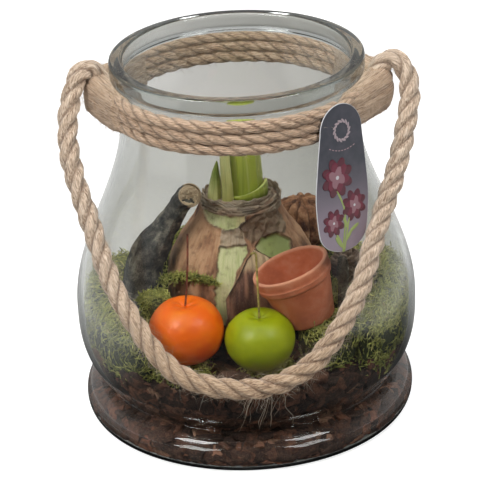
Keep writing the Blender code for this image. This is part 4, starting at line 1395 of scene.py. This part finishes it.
def makePot():
    # a profile of radius, height and paleness, from the middle of the bowl over the rim to the middle of the
    # foot
    top, wide, narrow = pot["height"], pot["rim"], pot["footRadius"]
    under, bowl = top - pot["band"], wide - pot["wall"]
    corners = np.array([
        (0.0004, 0.0030, 0), (narrow - pot["wall"] - 0.001, 0.0030, 0), (narrow - pot["wall"], 0.0040, 0),
        (bowl - 0.0006, top - 0.0016, 0), (bowl, top - 0.0004, 0.9), (bowl + 0.0006, top, 1),
        (wide - 0.0008, top, 1), (wide - 0.0001, top - 0.0005, 1), (wide, top - 0.0014, 0.3),
        (wide - 0.0003, top - 0.0040, 0), (wide - 0.00045, top - 0.0057, 0.1),  # a groove round the band
        (wide - 0.00015, top - 0.0063, 0.5), (wide - 0.00035, top - 0.0069, 0.1),
        (wide - 0.0007, under + 0.0009, 0), (wide - 0.0009, under + 0.0003, 0.6),
        (wide - 0.0014, under - 0.0001, 0.3), (wide - 0.0021, under - 0.0004, 0),
        (narrow + 0.0009, 0.0012, 0), (narrow + 0.0002, 0.0003, 0.4),
        (narrow - 0.0008, 0.0, 0), (0.0004, 0.0, 0),
    ])
    pieces = [corners[:1]]
    for low, high in zip(corners, corners[1:]):
        steps = max(2, int(np.linalg.norm(high[:2] - low[:2]) / 0.0007))
        pieces.append(low + (high - low) * (np.arange(1, steps + 1) / steps)[:, None])
    profile = np.vstack(pieces)
    grid = polar(profile[:, :1], around(132), profile[:, 1:2])
    grid = grid + 0.00012 * cloud(grid, 0.004, 97, 2)[..., None]
    turned = np.array(Vector(unit(np.array(pot["axis"]))).to_track_quat("Z", "Y").to_matrix()).T
    grid = grid @ turned + np.array(pot["foot"])
    edge = np.broadcast_to(profile[:, 2:], grid.shape[:2])
    settle(closedTube("clay_pot", grid, makePotClay(), {"edge": edge}), "terracotta", "terracotta_pot")


# dry pod and small cone

pod = dict(
    ribs=12,
    brown=(0.270, 0.120, 0.058),
    orange=(0.540, 0.290, 0.150),
    dark=(0.095, 0.042, 0.024),
)


def makePod():
    husk, tree = newMaterial("pod_husk", Roughness=0.85)
    marks = mottled(tree, 170.0)
    body = ramp(tree, marks["Patches"], (0.35, pod["dark"]), (0.48, pod["brown"]), (0.66, pod["orange"]))
    # painted shade: darker down in the grooves between the ribs
    paint(tree, blendColours(tree, markOf(tree, "furrowShade"), body, pod["dark"]))
    bumped(tree, marks["Grain"], 0.9, 0.0009)

    # a squared ball, v being the angle down from its top, drawn in along each groove
    middle, half = middleAndHalf("ribbed_pod")
    half = half * 0.97
    v, turn = np.linspace(0.03, np.pi - 0.03, 110)[:, None], around(216)
    rib = np.abs(np.cos(pod["ribs"] * turn / 2))
    size = np.sin(v) ** 0.75 * (0.86 + 0.14 * rib**0.6)
    top = squared(np.cos(v), 0.7) * (1 - 0.10 * (1 - rib) * (v < 1.2))
    grid = middle + half * polar(size, turn, top)
    grid = grid + unit(grid - middle) * (0.0014 * cloud(grid, 0.0050, 98, 4))[..., None]
    # painted shade mask, strongest in the grooves
    furrowShade = np.clip((0.35 - rib) / 0.35, 0, 1) ** 0.8 * 0.6 + 0 * v
    settle(closedTube("pod_husk", grid, husk, {"furrowShade": furrowShade}), "pod", "ribbed_pod")


cone = dict(
    scales=90,
    turn=2.39996,  # from each scale to the next: the golden angle
    size=0.0032,
    dark=(0.030, 0.016, 0.011),
    brown=(0.100, 0.055, 0.036),
    pale=(0.300, 0.210, 0.150),
    worn=(0.26, 0.18, 0.13),
)


def makeCone():
    wood, tree = newMaterial("cone_scales", Roughness=0.8)
    marks = mottled(tree, 300.0)
    body = ramp(tree, markOf(tree, "tone"), (0.0, cone["dark"]), (0.6, cone["brown"]), (1.0, cone["pale"]))
    paint(tree, overlaid(tree, body, cone["worn"], marks["Grain"], (0.5, 0.0), (0.8, 0.6)))
    bumped(tree, marks["Grain"], 0.7, 0.0006)

    middle, half = middleAndHalf("small_cone")
    core = lumpy("cone_core", lambda p: p * half * 0.78 + middle, 16, wood, ((0.0006, 0.003, 99),))
    settle(core, "cone", "small_cone")
    number = np.arange(cone["scales"])
    z = 1 - 1.9 * (number + 0.5) / cone["scales"]
    flat = np.sqrt(1 - z**2 * 0.95)
    out = polar(flat, number * cone["turn"], z * 0.9)
    up = unit(out * np.array([0.9, 0.9, 0.3]) + np.array([0, 0, 0.75]))
    first = unit(np.cross(up, out))
    axes = np.stack([first, up, np.cross(first, up)], 1)
    base, quads = roundForm(3)
    base = squared(base, (0.7, 0.8, 0.8))
    size = cone["size"] * (0.55 + 0.45 * flat)
    sizes = np.stack([size, size * 1.15, size * 0.32], 1)
    tones = np.random.default_rng(100).uniform(0.2, 1, cone["scales"])
    settle(copies("cone_scales", base, quads, middle + out * half * 0.84, axes, sizes, wood, tones), "cone")


# the bulb: flesh below, dry tunic above it, torn open in places

bulb = dict(
    centre=(-0.002, 0.002),
    radius=0.043,
    foot=0.040,
    top=0.131,
    outline=(  # half its width as a share of the radius, and height as a share of its own, down from the neck
        (0.0, 1.0), (0.30, 1.0), (0.50, 0.996), (0.545, 0.925), (0.62, 0.845), (0.74, 0.76), (0.87, 0.665),
        (0.965, 0.56), (1.0, 0.45), (0.985, 0.33), (0.92, 0.21), (0.80, 0.11), (0.60, 0.03), (0.30, 0.0),
        (0.0, 0.0),
    ),
    # the tears are outlines of azimuth in degrees and height in millimetres, through which the flesh shows
    tears=(
        ((-152, 127.2), (-138, 127.6), (-122, 127.2), (-104, 126.6), (-90, 126.8), (-80, 127.6), (-84, 124.2),
         (-96, 120.6), (-108, 119.2), (-122, 120.0), (-136, 122.4)),
        ((-112, 110.2), (-98, 110.8), (-84, 111.4), (-82, 108.2), (-88, 104.0), (-93, 98.8), (-98, 92.4),
         (-99, 84.0), (-97, 76.0), (-96, 66.0), (-108, 66.0), (-110.5, 76.0), (-112.5, 86.0), (-111, 94.0),
         (-111, 102.0)),
        ((-74, 110.6), (-66, 113.6), (-52, 114.8), (-40, 111.4), (-31, 107.6), (-40, 103.6), (-52, 102.2),
         (-64, 103.6), (-72, 106.6)),
        ((38, 118), (52, 121), (60, 112), (54, 96), (48, 78), (42, 84), (44, 100)),
        ((128, 106), (140, 112), (150, 104), (146, 88), (136, 76), (131, 88)),
    ),
    beige=((-113, 121.0), (-100, 121.6), (-90, 121.8), (-86, 118.0), (-84, 112.0), (-100, 110.4),
           (-113, 110.0)),
    purple=((-92, 121.2), (-80, 124.6), (-64, 127.8), (-44, 128.6), (-24, 126.0), (-24, 116.0), (-34, 111.6),
            (-52, 114.6), (-66, 113.6), (-76, 112.6), (-86, 116.4)),
    flesh=(0.470, 0.510, 0.200),
    fleshGreen=(0.340, 0.430, 0.110),
    fleshPale=(0.740, 0.700, 0.410),
    skin=(0.370, 0.165, 0.078),
    skinDark=(0.095, 0.034, 0.020),
    skinPale=(0.600, 0.345, 0.190),
    greyBeige=(0.430, 0.320, 0.205),
    purpleBrown=(0.180, 0.105, 0.060),
    line=(0.030, 0.010, 0.007),
    paper=(0.480, 0.390, 0.290),
    dusk=(0.05, 0.03, 0.02),
    speck=(0.09, 0.04, 0.024),
    shine=(0.62, 0.48, 0.33),
    topRings=23,  # rings of the flat top, before its side begins
    ringStep=0.0034,  # between the scales seen on the cut top
    layerStep=0.00155,  # between those round the neck
    neckScales=16,
)


def bulbProfile():  # radius and height down the bulb, from the middle of its neck to the middle of its foot
    height = bulb["top"] - bulb["foot"]
    points = np.array([(r * bulb["radius"], bulb["foot"] + z * height) for r, z in bulb["outline"]])
    count = bulb["topRings"]
    flat = np.stack([np.linspace(0.0004, points[2, 0], count + 1)[:-1], np.full(count, bulb["top"])], 1)
    return np.vstack([flat, smoothLine(points[2:], 260)])


def bulbRadius(z):
    side = bulbProfile()[bulb["topRings"]:]
    return np.interp(z, side[::-1, 1], side[::-1, 0])


def aboutBulb(radius, angle, height):  # a point at a radius and an angle round the bulb's own middle line
    return polar(radius, angle, height) + np.array([*bulb["centre"], 0])


def inside(azimuth, z, outline):
    # signed distance in millimetres to an outline on the bulb's side, positive inside it: the side is taken
    # as unrolled from a radius of 38 mm
    scale = np.pi / 180 * 38
    p = np.stack([azimuth.ravel() * scale, z.ravel()], 1)
    corners = np.array(outline, float) * np.array([scale, 1.0])
    ends = np.roll(corners, -1, 0)
    nearest = np.full(len(p), 1e9)
    within = np.zeros(len(p), bool)
    for a, b in zip(corners, ends):
        edge = b - a
        t = np.clip((p - a) @ edge / (edge @ edge), 0, 1)[:, None]
        nearest = np.minimum(nearest, np.linalg.norm(p - a - t * edge, axis=1))
        crosses = (a[1] > p[:, 1]) != (b[1] > p[:, 1])
        at = a[0] + edge[0] * (p[:, 1] - a[1]) / (edge[1] if edge[1] else 1e-9)
        within ^= crosses & (p[:, 0] < at)
    return np.where(within, nearest, -nearest).reshape(azimuth.shape)


def mixed(first, second, share):  # two colours blended by an array of shares
    return np.asarray(first) * (1 - share[..., None]) + np.asarray(second) * share[..., None]


def bulbCoat(azimuth, z, place):
    # how far the skin stands off the flesh, and the skin's own colour, at every point of the bulb's side
    raggedAz = azimuth + 4.2 * cloud(place, 0.0045, 111, 4)
    raggedZ = z + 1.7 * cloud(place, 0.0045, 112, 4)
    torn = np.max([inside(raggedAz, raggedZ, tear) for tear in bulb["tears"]], axis=0)
    blots = cloud(place * np.array([1, 1, 0.55]), 0.0042, 118, 4)
    strip = stacked(azimuth * 0.0011, z * 0.00012, 0.0)
    veins = cloud(strip, 0.0009, 113, 3)
    broad = cloud(place, 0.011, 114, 3)
    creases = np.clip(cloud(strip * np.array([1, 2.5, 1]), 0.0022, 115, 2), 0, 1)

    flesh = mixed(bulb["flesh"], bulb["fleshPale"], ease(0.5 + 0.5 * veins + 0.5 * broad))
    greenish = ease((azimuth + 76) / 12) * ease((-20 - azimuth) / 10)
    flesh = mixed(flesh, bulb["fleshGreen"], np.clip(0.75 * greenish + 0.25 * np.clip(veins, 0, 1), 0, 1))
    brownish = ease((azimuth + 104) / 22) * ease((z - 118) / 4) * ease((-60 - azimuth) / 8) * 0.55
    flesh = mixed(flesh, bulb["skinPale"], brownish)

    skin = mixed(bulb["skin"], bulb["skinPale"], ease(0.45 + 0.35 * veins + 0.9 * broad + 0.5 * blots))
    skin = mixed(skin, bulb["skinDark"], ease(0.05 - 0.9 * broad + 0.4 * creases - 0.8 * blots))
    beige = ease(0.5 + inside(raggedAz, raggedZ, bulb["beige"]) / 1.2)
    skin = mixed(skin, mixed(bulb["greyBeige"], bulb["paper"], ease(0.5 + veins)), beige * 0.85)
    withinPurple = inside(raggedAz, raggedZ, bulb["purple"])
    purple = ease(0.5 + withinPurple / 0.8)
    dusty = mixed(bulb["purpleBrown"], bulb["greyBeige"], ease(0.35 + 0.9 * broad + 0.9 * blots))
    skin = mixed(skin, dusty, purple)

    covered = ease(0.5 - torn / 0.5)
    colour = mixed(flesh, skin, covered)
    broken = np.clip(1.6 * cloud(place, 0.004, 116, 2) + 0.5, 0, 1)
    rim = np.exp(-((torn + 0.35) / 0.55) ** 2) * (0.45 + 0.55 * broken)
    fold = np.exp(-((withinPurple - 0.2) / 0.5) ** 2) * ease((azimuth + 98) / 6)
    fold = fold * ease((-40 - azimuth) / 8) * ease((z - 117) / 3)
    colour = mixed(colour, bulb["line"], np.clip(0.85 * rim + 0.8 * fold, 0, 0.92))

    lift = covered * (0.00085 + 0.00018 * veins + 0.00070 * broad + 0.00060 * blots)
    lift += 0.00065 * np.exp(-((torn + 0.9) / 0.8) ** 2)  # the torn edge curls up
    lift += purple * 0.0008 + 0.0006 * fold + 0.00022 * cloud(place, 0.005, 110, 2)
    lift += 0.0022 * np.maximum(beige, purple) * cloud(place, 0.0036, 117, 3)
    return lift, colour


def makeBulbMaterial():
    material, tree = newMaterial("bulb_skin", Roughness=0.62)
    hue, flow = markOf(tree, "hue", "Color"), markOf(tree, "flow", "Vector")
    threads = useGroup(tree, fibre, Vector=flow, Across=2600.0, Along=110.0)
    marks = mottled(tree, 260.0)
    dusky = overlaid(tree, hue, bulb["dusk"], threads["Lines"], (0.28, 0.30), (0.48, 0.0))
    light = overlaid(tree, dusky, bulb["shine"], marks["Grain"], (0.52, 0.0), (0.74, 0.30))
    paint(tree, overlaid(tree, light, bulb["speck"], marks["Patches"], (0.54, 0.0), (0.72, 0.45)))
    bumped(tree, maths(tree, "ADD", threads["Lines"], marks["Grain"]), 0.8, 0.0006)
    return material


def makeBulb():
    skin = makeBulbMaterial()
    count, profile = bulb["topRings"], bulbProfile()
    profile = np.vstack([profile[:count], evenly(profile[count:], 185)])
    warp = np.linspace(-np.pi, np.pi, 390, endpoint=False)
    turn = warp - 0.42 * np.sin(warp) - np.radians(95)  # columns lie closer together at the front
    turn = (turn + np.pi) % full - np.pi
    r, z = profile[:, :1], profile[:, 1:] + 0 * turn
    grid = aboutBulb(r, turn, z)
    # the normal of the turned profile, straight up on the flat top
    tangent = unit(np.gradient(profile, axis=0))
    normal = polar(-tangent[:, 1:], turn, tangent[:, :1])
    normal[:count] = np.array([0, 0, 1.0])
    azimuth = np.degrees(turn) + 0 * z
    lift, colour = bulbCoat(azimuth, z * 1000, grid)

    # the neck: rings of cut scales on top, and their dry layers just below
    onTop = ease((z - 0.1268) / 0.0012)
    wave = z + 0.0011 * cloud(grid, 0.006, 120, 3) + 0.0005 * np.sin(turn * 3)
    layers = np.sin(full * wave / bulb["layerStep"])
    scales = np.sin(full * (r + 0.0016 * cloud(grid, 0.007, 121, 2)) / bulb["ringStep"])
    flat = (np.arange(len(profile)) < count)[:, None]
    layerShade = np.where(flat, scales, layers)
    neck = np.where(flat, 0.0007 * scales, 0.0008 * layers) + 0.0006 * cloud(grid, 0.004, 122, 2)
    lift = lift * (1 - onTop) + onTop * (neck + 0.0002)
    # painted shade and light: dark lines down in the grooves between the scales and layers, paler paper on
    # their raised tops
    papery = mixed(bulb["greyBeige"], bulb["paper"], ease(0.5 + 0.6 * layerShade))
    papery = mixed(papery, bulb["line"], ease(-0.2 - 1.2 * layerShade) * 0.75)
    papery = mixed(papery, bulb["skin"], ease(cloud(grid, 0.009, 123, 2)) * 0.7)
    grid = grid + normal * lift[..., None]
    flow = stacked(azimuth * 0.0007, 0.0, z + 0.001 * cloud(grid, 0.008, 124, 1))
    marks = {"hue": mixed(colour, papery, onTop), "flow": flow}
    settle(closedTube("bulb_body", grid, skin, marks), "tunic", "bulb")
    makeNeckPapers(skin)
    makePeeledScale(skin)


def makeNeckPapers(skin):
    # torn rims of dry scales round the neck: short upright sheets with uneven tops
    rng = np.random.default_rng(139)
    for n in range(bulb["neckScales"]):
        middle, spread, inwards = 137.5 * n, rng.uniform(30, 75), (0.382 * n) % 1
        radius = 0.0243 - 0.0070 * inwards
        low = 0.1262 + 0.0046 * inwards
        high = low + rng.uniform(0.0026, 0.0060)
        u = np.linspace(-1, 1, 90)
        a, t = np.radians(middle + spread * u), np.linspace(0, 1, 14)[:, None]
        taper = np.cos(u * np.pi / 2) ** 0.4
        seedLine = polar(0.02, a, n * 0.01)
        top = low + (high - low) * taper * (1 + 0.55 * cloud(seedLine, 0.003, 130, 4))
        z = low - 0.001 + (top - low + 0.001) * t
        r = radius + 0.0007 * t + 0.0013 * cloud(seedLine, 0.005, 131, 3) * t + 0.0004 * np.sin(9 * a + n) * t
        grid = aboutBulb(r, a, z)
        layered = cloud(grid * np.array([0.35, 0.35, 2.2]), 0.0026, 132, 3)
        hue = mixed(bulb["greyBeige"], bulb["paper"], ease(0.5 + 1.1 * layered))
        hue = mixed(hue, bulb["skinDark"], ease(0.10 - 1.6 * layered) * 0.8)
        marks = {"hue": hue, "flow": stacked(np.degrees(a) * 0.0007, 0.0, z)}
        settle(thinShell(f"neck_scale_{n + 1}", grid, 0.0005, skin, marks), "tunic")


peeled = dict(
    bottom=62.0,  # heights in millimetres
    top=109.8,
    sides=(  # height, and azimuth in degrees of its left and its right side
        (62.0, -104.0, -48.0), (74.0, -101.5, -50.0), (86.0, -102.0, -52.0), (92.0, -97.5, -54.0),
        (98.0, -92.5, -57.0), (103.0, -88.5, -62.0), (106.5, -85.0, -67.5), (109.6, -80.5, -74.0),
    ),
    # painted shade in the low places between its ridges, and the lighter colour of the ridges
    furrowShade=(0.070, 0.024, 0.018),
    ridge=(0.330, 0.150, 0.090),
    beige=(0.620, 0.460, 0.270),
)


def makePeeledScale(skin):
    # a dry scale curling off the front: narrow at its top, wide and ridged below, its left side rolled
    v, u = np.linspace(0, 1, 90)[:, None], np.linspace(-1, 1, 60)
    knots = np.array(peeled["sides"])
    z = peeled["bottom"] + (peeled["top"] - peeled["bottom"]) * (1 - (1 - v) ** 1.15)
    left, right = (np.interp(z, knots[:, 0], knots[:, n]) for n in (1, 2))
    narrow = np.clip((1 - v) / 0.10, 0, 1) ** 0.5
    azimuth = (left + right) / 2 + u * (right - left) / 2 * (0.12 + 0.88 * narrow)
    z = z + 0.36 * u
    a = np.radians(azimuth)
    seedPlace = stacked(a * 0.04, z * 0.001, 0.0)
    ragged = 0.9 * cloud(seedPlace, 0.003, 140, 3) * np.abs(u) ** 4
    ridges = cloud(seedPlace * np.array([1, 0.12, 1]), 0.0016, 141, 3)
    roll = np.clip((-u - 0.82) / 0.18, 0, 1)
    lift = 1.5 + 2.0 * (1 - v) + 0.6 * u**2 + 0.85 * ridges * (1 - 0.5 * v) + 0.9 * roll + 0.5 * ragged
    grid = aboutBulb(bulbRadius(z / 1000) + lift / 1000, a, (z + 0.6 * ragged) / 1000)
    beige = ease((z - 96 + 4 * cloud(seedPlace, 0.006, 142, 2)) / 7) * ease((1.05 - np.abs(u)) / 0.2)
    edge = ease((np.abs(u) - 0.90) / 0.08) * ease((z - 84) / 6)
    # painted shade: dark down between the ridges, lighter and more beige on their tops
    hue = mixed(peeled["furrowShade"], peeled["ridge"], ease(0.4 + 1.2 * ridges))
    hue = mixed(hue, peeled["beige"], beige * ease(0.8 + 0.8 * ridges))
    hue = mixed(hue, bulb["line"], edge * 0.85)
    marks = {"hue": hue, "flow": stacked(azimuth * 0.0007, 0.0, z / 1000)}
    settle(thinShell("peeled_scale", grid, 0.0006, skin, marks), "tunic", "bulb_flap")


# shoots

shoot = dict(
    green=(0.400, 0.460, 0.062),
    deep=(0.190, 0.255, 0.036),
    pale=(0.700, 0.690, 0.290),
    yellow=(0.620, 0.600, 0.200),
    main=dict(centre=(0.0030, 0.0012), half=(0.0093, 0.0068), lean=-0.0026, ribs=7),
    pointed=dict(centre=(-0.0160, -0.0008), half=(0.0040, 0.0050), lean=0.0022, ribs=5),
    narrow=dict(centre=(-0.0084, -0.0062), half=(0.0034, 0.0030), lean=-0.0012, ribs=5),
    sheath=(0.0108, 0.0084),  # how far the low sheath stands from the main shoot's middle, across and deep
    sheathLow=0.0020,
    sheathRise=0.0080,
)


def makeShootMaterial():
    material, tree = newMaterial("shoot_skin", Roughness=0.38, Subsurface_Weight=0.10,
                                 Subsurface_Radius=(0.002, 0.003, 0.001))
    hue, flow = markOf(tree, "hue", "Color"), markOf(tree, "flow", "Vector")
    threads = useGroup(tree, fibre, Vector=flow, Across=1400.0, Along=40.0)
    dusky = overlaid(tree, hue, shoot["deep"], threads["Lines"], (0.35, 0.25), (0.55, 0.0))
    paint(tree, overlaid(tree, dusky, shoot["pale"], threads["Streaks"], (0.5, 0.0), (0.8, 0.35)))
    bumped(tree, threads["Lines"], 0.25, 0.0004)
    return material


def makeStalk(part, nodeName, narrow, colours, material):
    # an oval stalk that narrows by a function of its height, with shallow upright ribs
    size = shoot[part]
    foot = bulb["top"] + 0.0002
    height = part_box(nodeName)[1][2] - (foot if part == "main" else bulb["top"])
    t, turn = (1 - np.cos(np.linspace(0, np.pi, 80)))[:, None] / 2, around(96)
    rib = 1 + 0.035 * np.cos(size["ribs"] * turn + 0.7) + 0.02 * np.cos((2 * size["ribs"] + 1) * turn)
    reach = polar(narrow(t) * rib, turn, 0.0)
    grid = stacked(size["centre"][0] + size["lean"] * t**1.5 + size["half"][0] * reach[..., 0],
                   size["centre"][1] + size["half"][1] * reach[..., 1], foot + height * t)
    grid = grid + 0.00025 * cloud(grid, 0.007, 150, 2)[..., None]
    edge = np.abs(np.cos(turn)) ** 6 + 0 * t
    seam = np.exp(-((turn - full * 0.70 - 0.5 * t) / 0.05) ** 2)
    hue = mixed(colours[0], colours[1], ease(t * 1.6 - 0.15) + 0 * turn)
    hue = mixed(hue, shoot["pale"], 0.45 * edge)
    hue = mixed(hue, shoot["deep"], 0.35 * seam)
    marks = {"hue": hue, "flow": polar(0.01, turn, height * t)}
    settle(closedTube(f"shoot_{part}", grid, material, marks), "leaf", nodeName)


def makeSheath(skin):
    # a low sheet wrapped round the main shoot: its top climbs with the angle and drops again at its right end
    a, t = np.radians(np.linspace(-150, 42, 90)), np.linspace(0, 1, 30)[:, None]
    climb = ease((np.degrees(a) + 140) / 150) * np.clip((42 - np.degrees(a)) / 40, 0, 1) ** 0.5
    rise = (shoot["sheathLow"] + shoot["sheathRise"] * climb) * t
    grow = 1.02 + 0.05 * np.sin(np.pi * t)
    ring = polar(grow, a, 0.0)
    (x, y), (wide, deep) = shoot["main"]["centre"], shoot["sheath"]
    grid = stacked(x + wide * ring[..., 0], y + deep * ring[..., 1], bulb["top"] + rise)
    hue = mixed(shoot["green"], shoot["deep"], ease(1.1 - 1.6 * t + 0 * a))
    hue = mixed(hue, shoot["pale"], ease((t - 0.86) / 0.14) * 0.5 + 0 * a)
    marks = {"hue": hue, "flow": stacked(a * 0.01, 0.0, rise)}
    settle(thinShell("shoot_low_sheath", grid, 0.0016, skin, marks), "leaf", "leaf_right")


def makeShoots():
    skin = makeShootMaterial()
    blunt = lambda t: (1 - 0.16 * t) * np.clip((1.0 - t) / 0.10, 0, 1) ** 0.42 * (1 + 0.04 * np.sin(3 * t))
    makeStalk("main", "flower_shoot", blunt, (shoot["green"], shoot["green"]), skin)
    pointed = lambda t: np.clip(1 - t**1.7, 0.0, 1) ** 0.8
    makeStalk("pointed", "leaf_left", pointed, (shoot["pale"], shoot["deep"]), skin)
    rounded = lambda t: (1 - 0.2 * t) * np.clip((1.0 - t) / 0.12, 0, 1) ** 0.5
    makeStalk("narrow", "leaf_narrow", rounded, (shoot["yellow"], shoot["pale"]), skin)
    makeSheath(skin)


makeMulch()
print("bark laid")
makeMoss()
print("moss grown")
makeCard()
print("card hung")
makeStick()
print("stick set")
makeApples()
makePot()
makePod()
makeCone()
print("apples, pot, pod and cone placed")
makeBulb()
makeShoots()
print("bulb and shoots grown")


# studio

studio = dict(
    front=0.02,  # brightness of the room on the camera's side, which the glass mirrors
    back=0.56,
    paper=(0.80, 0.795, 0.785),
    throughLeft=(0.92, 0.89, 0.86),  # the paper behind the vase as it shows through the glass, with painted light: lighter on the left, darker on the right
    throughRight=(0.62, 0.60, 0.56),
    throughReach=0.09,
    bounce=(0.50, 0.495, 0.485),  # the same paper as it lights the object
    bright=(0.95, 0.945, 0.93),  # the same paper as the glass mirrors it behind and beside the vase
    mirrored=(0.03, 0.03, 0.03),  # and as it mirrors it in front of the vase, like paper that is not lit
    behind=(0.02, 0.26),  # how far back the bright part begins, and where it is full
    beside=(0.018, 0.078),  # the same to the sides, for a figure that grows with the square of the distance
    rightShift=0.08,  # less of it on the right
    aheadFade=-1.5,  # and less with the square of the distance in front
    glow=0.62,  # added to the floor for the camera only, so that it looks white
    lamps=(  # azimuth and height in degrees, distance, size and watts
        ("left_softbox", -138, 48, 1.5, (0.55, 0.55), 12.6),
        ("right_softbox", -42, 48, 1.5, (0.55, 0.55), 9.2),
        ("top_softbox", -90, 80, 1.4, (0.9, 0.7), 7.4),
    ),
)


def makeFloorPaper():
    paper, tree = newMaterial("floor_paper", Roughness=0.95, Emission_Color=(1.0, 1.0, 1.0, 1))
    path = node(tree, "ShaderNodeLightPath").outputs
    glow = maths(tree, "MULTIPLY", path["Is Camera Ray"], studio["glow"])
    tree.links.new(glow, tree.nodes["Principled BSDF"].inputs["Emission Strength"])
    lights = maths(tree, "GREATER_THAN", path["Diffuse Depth"], 0.5)
    mirrors = maths(tree, "GREATER_THAN", path["Glossy Depth"], 0.5)

    # where the glass mirrors bright paper: far behind the vase, or far to one side and not in front
    place = node(tree, "ShaderNodeSeparateXYZ", {"Vector": placeOf(tree)}).outputs
    behind = rescaled(tree, place["Y"], *studio["behind"])
    sideways = maths(tree, "MULTIPLY", place["X"], maths(tree, "SUBTRACT", place["X"], studio["rightShift"]))
    front = maths(tree, "MINIMUM", place["Y"], 0.0)
    ahead = maths(tree, "MULTIPLY", front, front)
    aside = maths(tree, "MULTIPLY_ADD", ahead, studio["aheadFade"], sideways)
    lighter = maths(tree, "MAXIMUM", behind, rescaled(tree, aside, *studio["beside"]))
    mirrored = blendColours(tree, lighter, studio["mirrored"], studio["bright"])
    across = rescaled(tree, place["X"], -studio["throughReach"], studio["throughReach"])
    through = blendColours(tree, across, studio["throughLeft"], studio["throughRight"])
    seen = blendColours(tree, mirrors, through, mirrored)
    lit = blendColours(tree, lights, seen, studio["bounce"])
    paint(tree, blendColours(tree, path["Is Camera Ray"], lit, studio["paper"]))
    return paper


def makeFloor():
    mesh = bpy.data.meshes.new("floor")
    corners = [(-3, -3, -0.0003), (3, -3, -0.0003), (3, 3, -0.0003), (-3, 3, -0.0003)]
    mesh.from_pydata(corners, [], [(0, 1, 2, 3)])
    mesh.materials.append(makeFloorPaper())
    floor = bpy.data.objects.new("floor", mesh)
    bpy.context.scene.collection.objects.link(floor)


def makeSoftbox(name, azimuth, lift, distance, size, power):
    lamp = bpy.data.lights.new(name, "AREA")
    lamp.shape = "RECTANGLE"
    lamp.size, lamp.size_y = size
    lamp.energy = power
    a, e = math.radians(azimuth), math.radians(lift)
    towards = Vector((math.cos(a) * math.cos(e), math.sin(a) * math.cos(e), math.sin(e)))
    box = bpy.data.objects.new(name, lamp)
    box.location = towards * distance + Vector((0, 0, 0.1))
    box.rotation_euler = towards.to_track_quat("Z", "Y").to_euler()
    bpy.context.scene.collection.objects.link(box)


def makeWorld():
    # white behind and below, darker on the front side, so that the glass has edges
    world = bpy.data.worlds.new("studio")
    world.use_nodes = True
    tree = world.node_tree
    place = node(tree, "ShaderNodeTexCoord").outputs["Generated"]
    axes = node(tree, "ShaderNodeSeparateXYZ", {"Vector": place}).outputs
    back = maths(tree, "SUBTRACT", axes["Y"], axes["Z"])
    shade = rescaled(tree, back, -0.9, 0.1, studio["front"], studio["back"])
    grey = node(tree, "ShaderNodeCombineColor", {"Red": shade, "Green": shade, "Blue": shade}).outputs[0]
    camera = node(tree, "ShaderNodeLightPath").outputs["Is Camera Ray"]
    seen = blendColours(tree, camera, grey, (1.0, 1.0, 1.0))
    tree.links.new(seen, tree.nodes["Background"].inputs["Color"])
    bpy.context.scene.world = world


makeFloor()
for lamp in studio["lamps"]:
    makeSoftbox(*lamp)
makeWorld()
bpy.context.scene.view_settings.view_transform = "Standard"
bpy.context.scene.cycles.glossy_bounces = 12  # fewer leave black spots in the rim
print("studio lit")
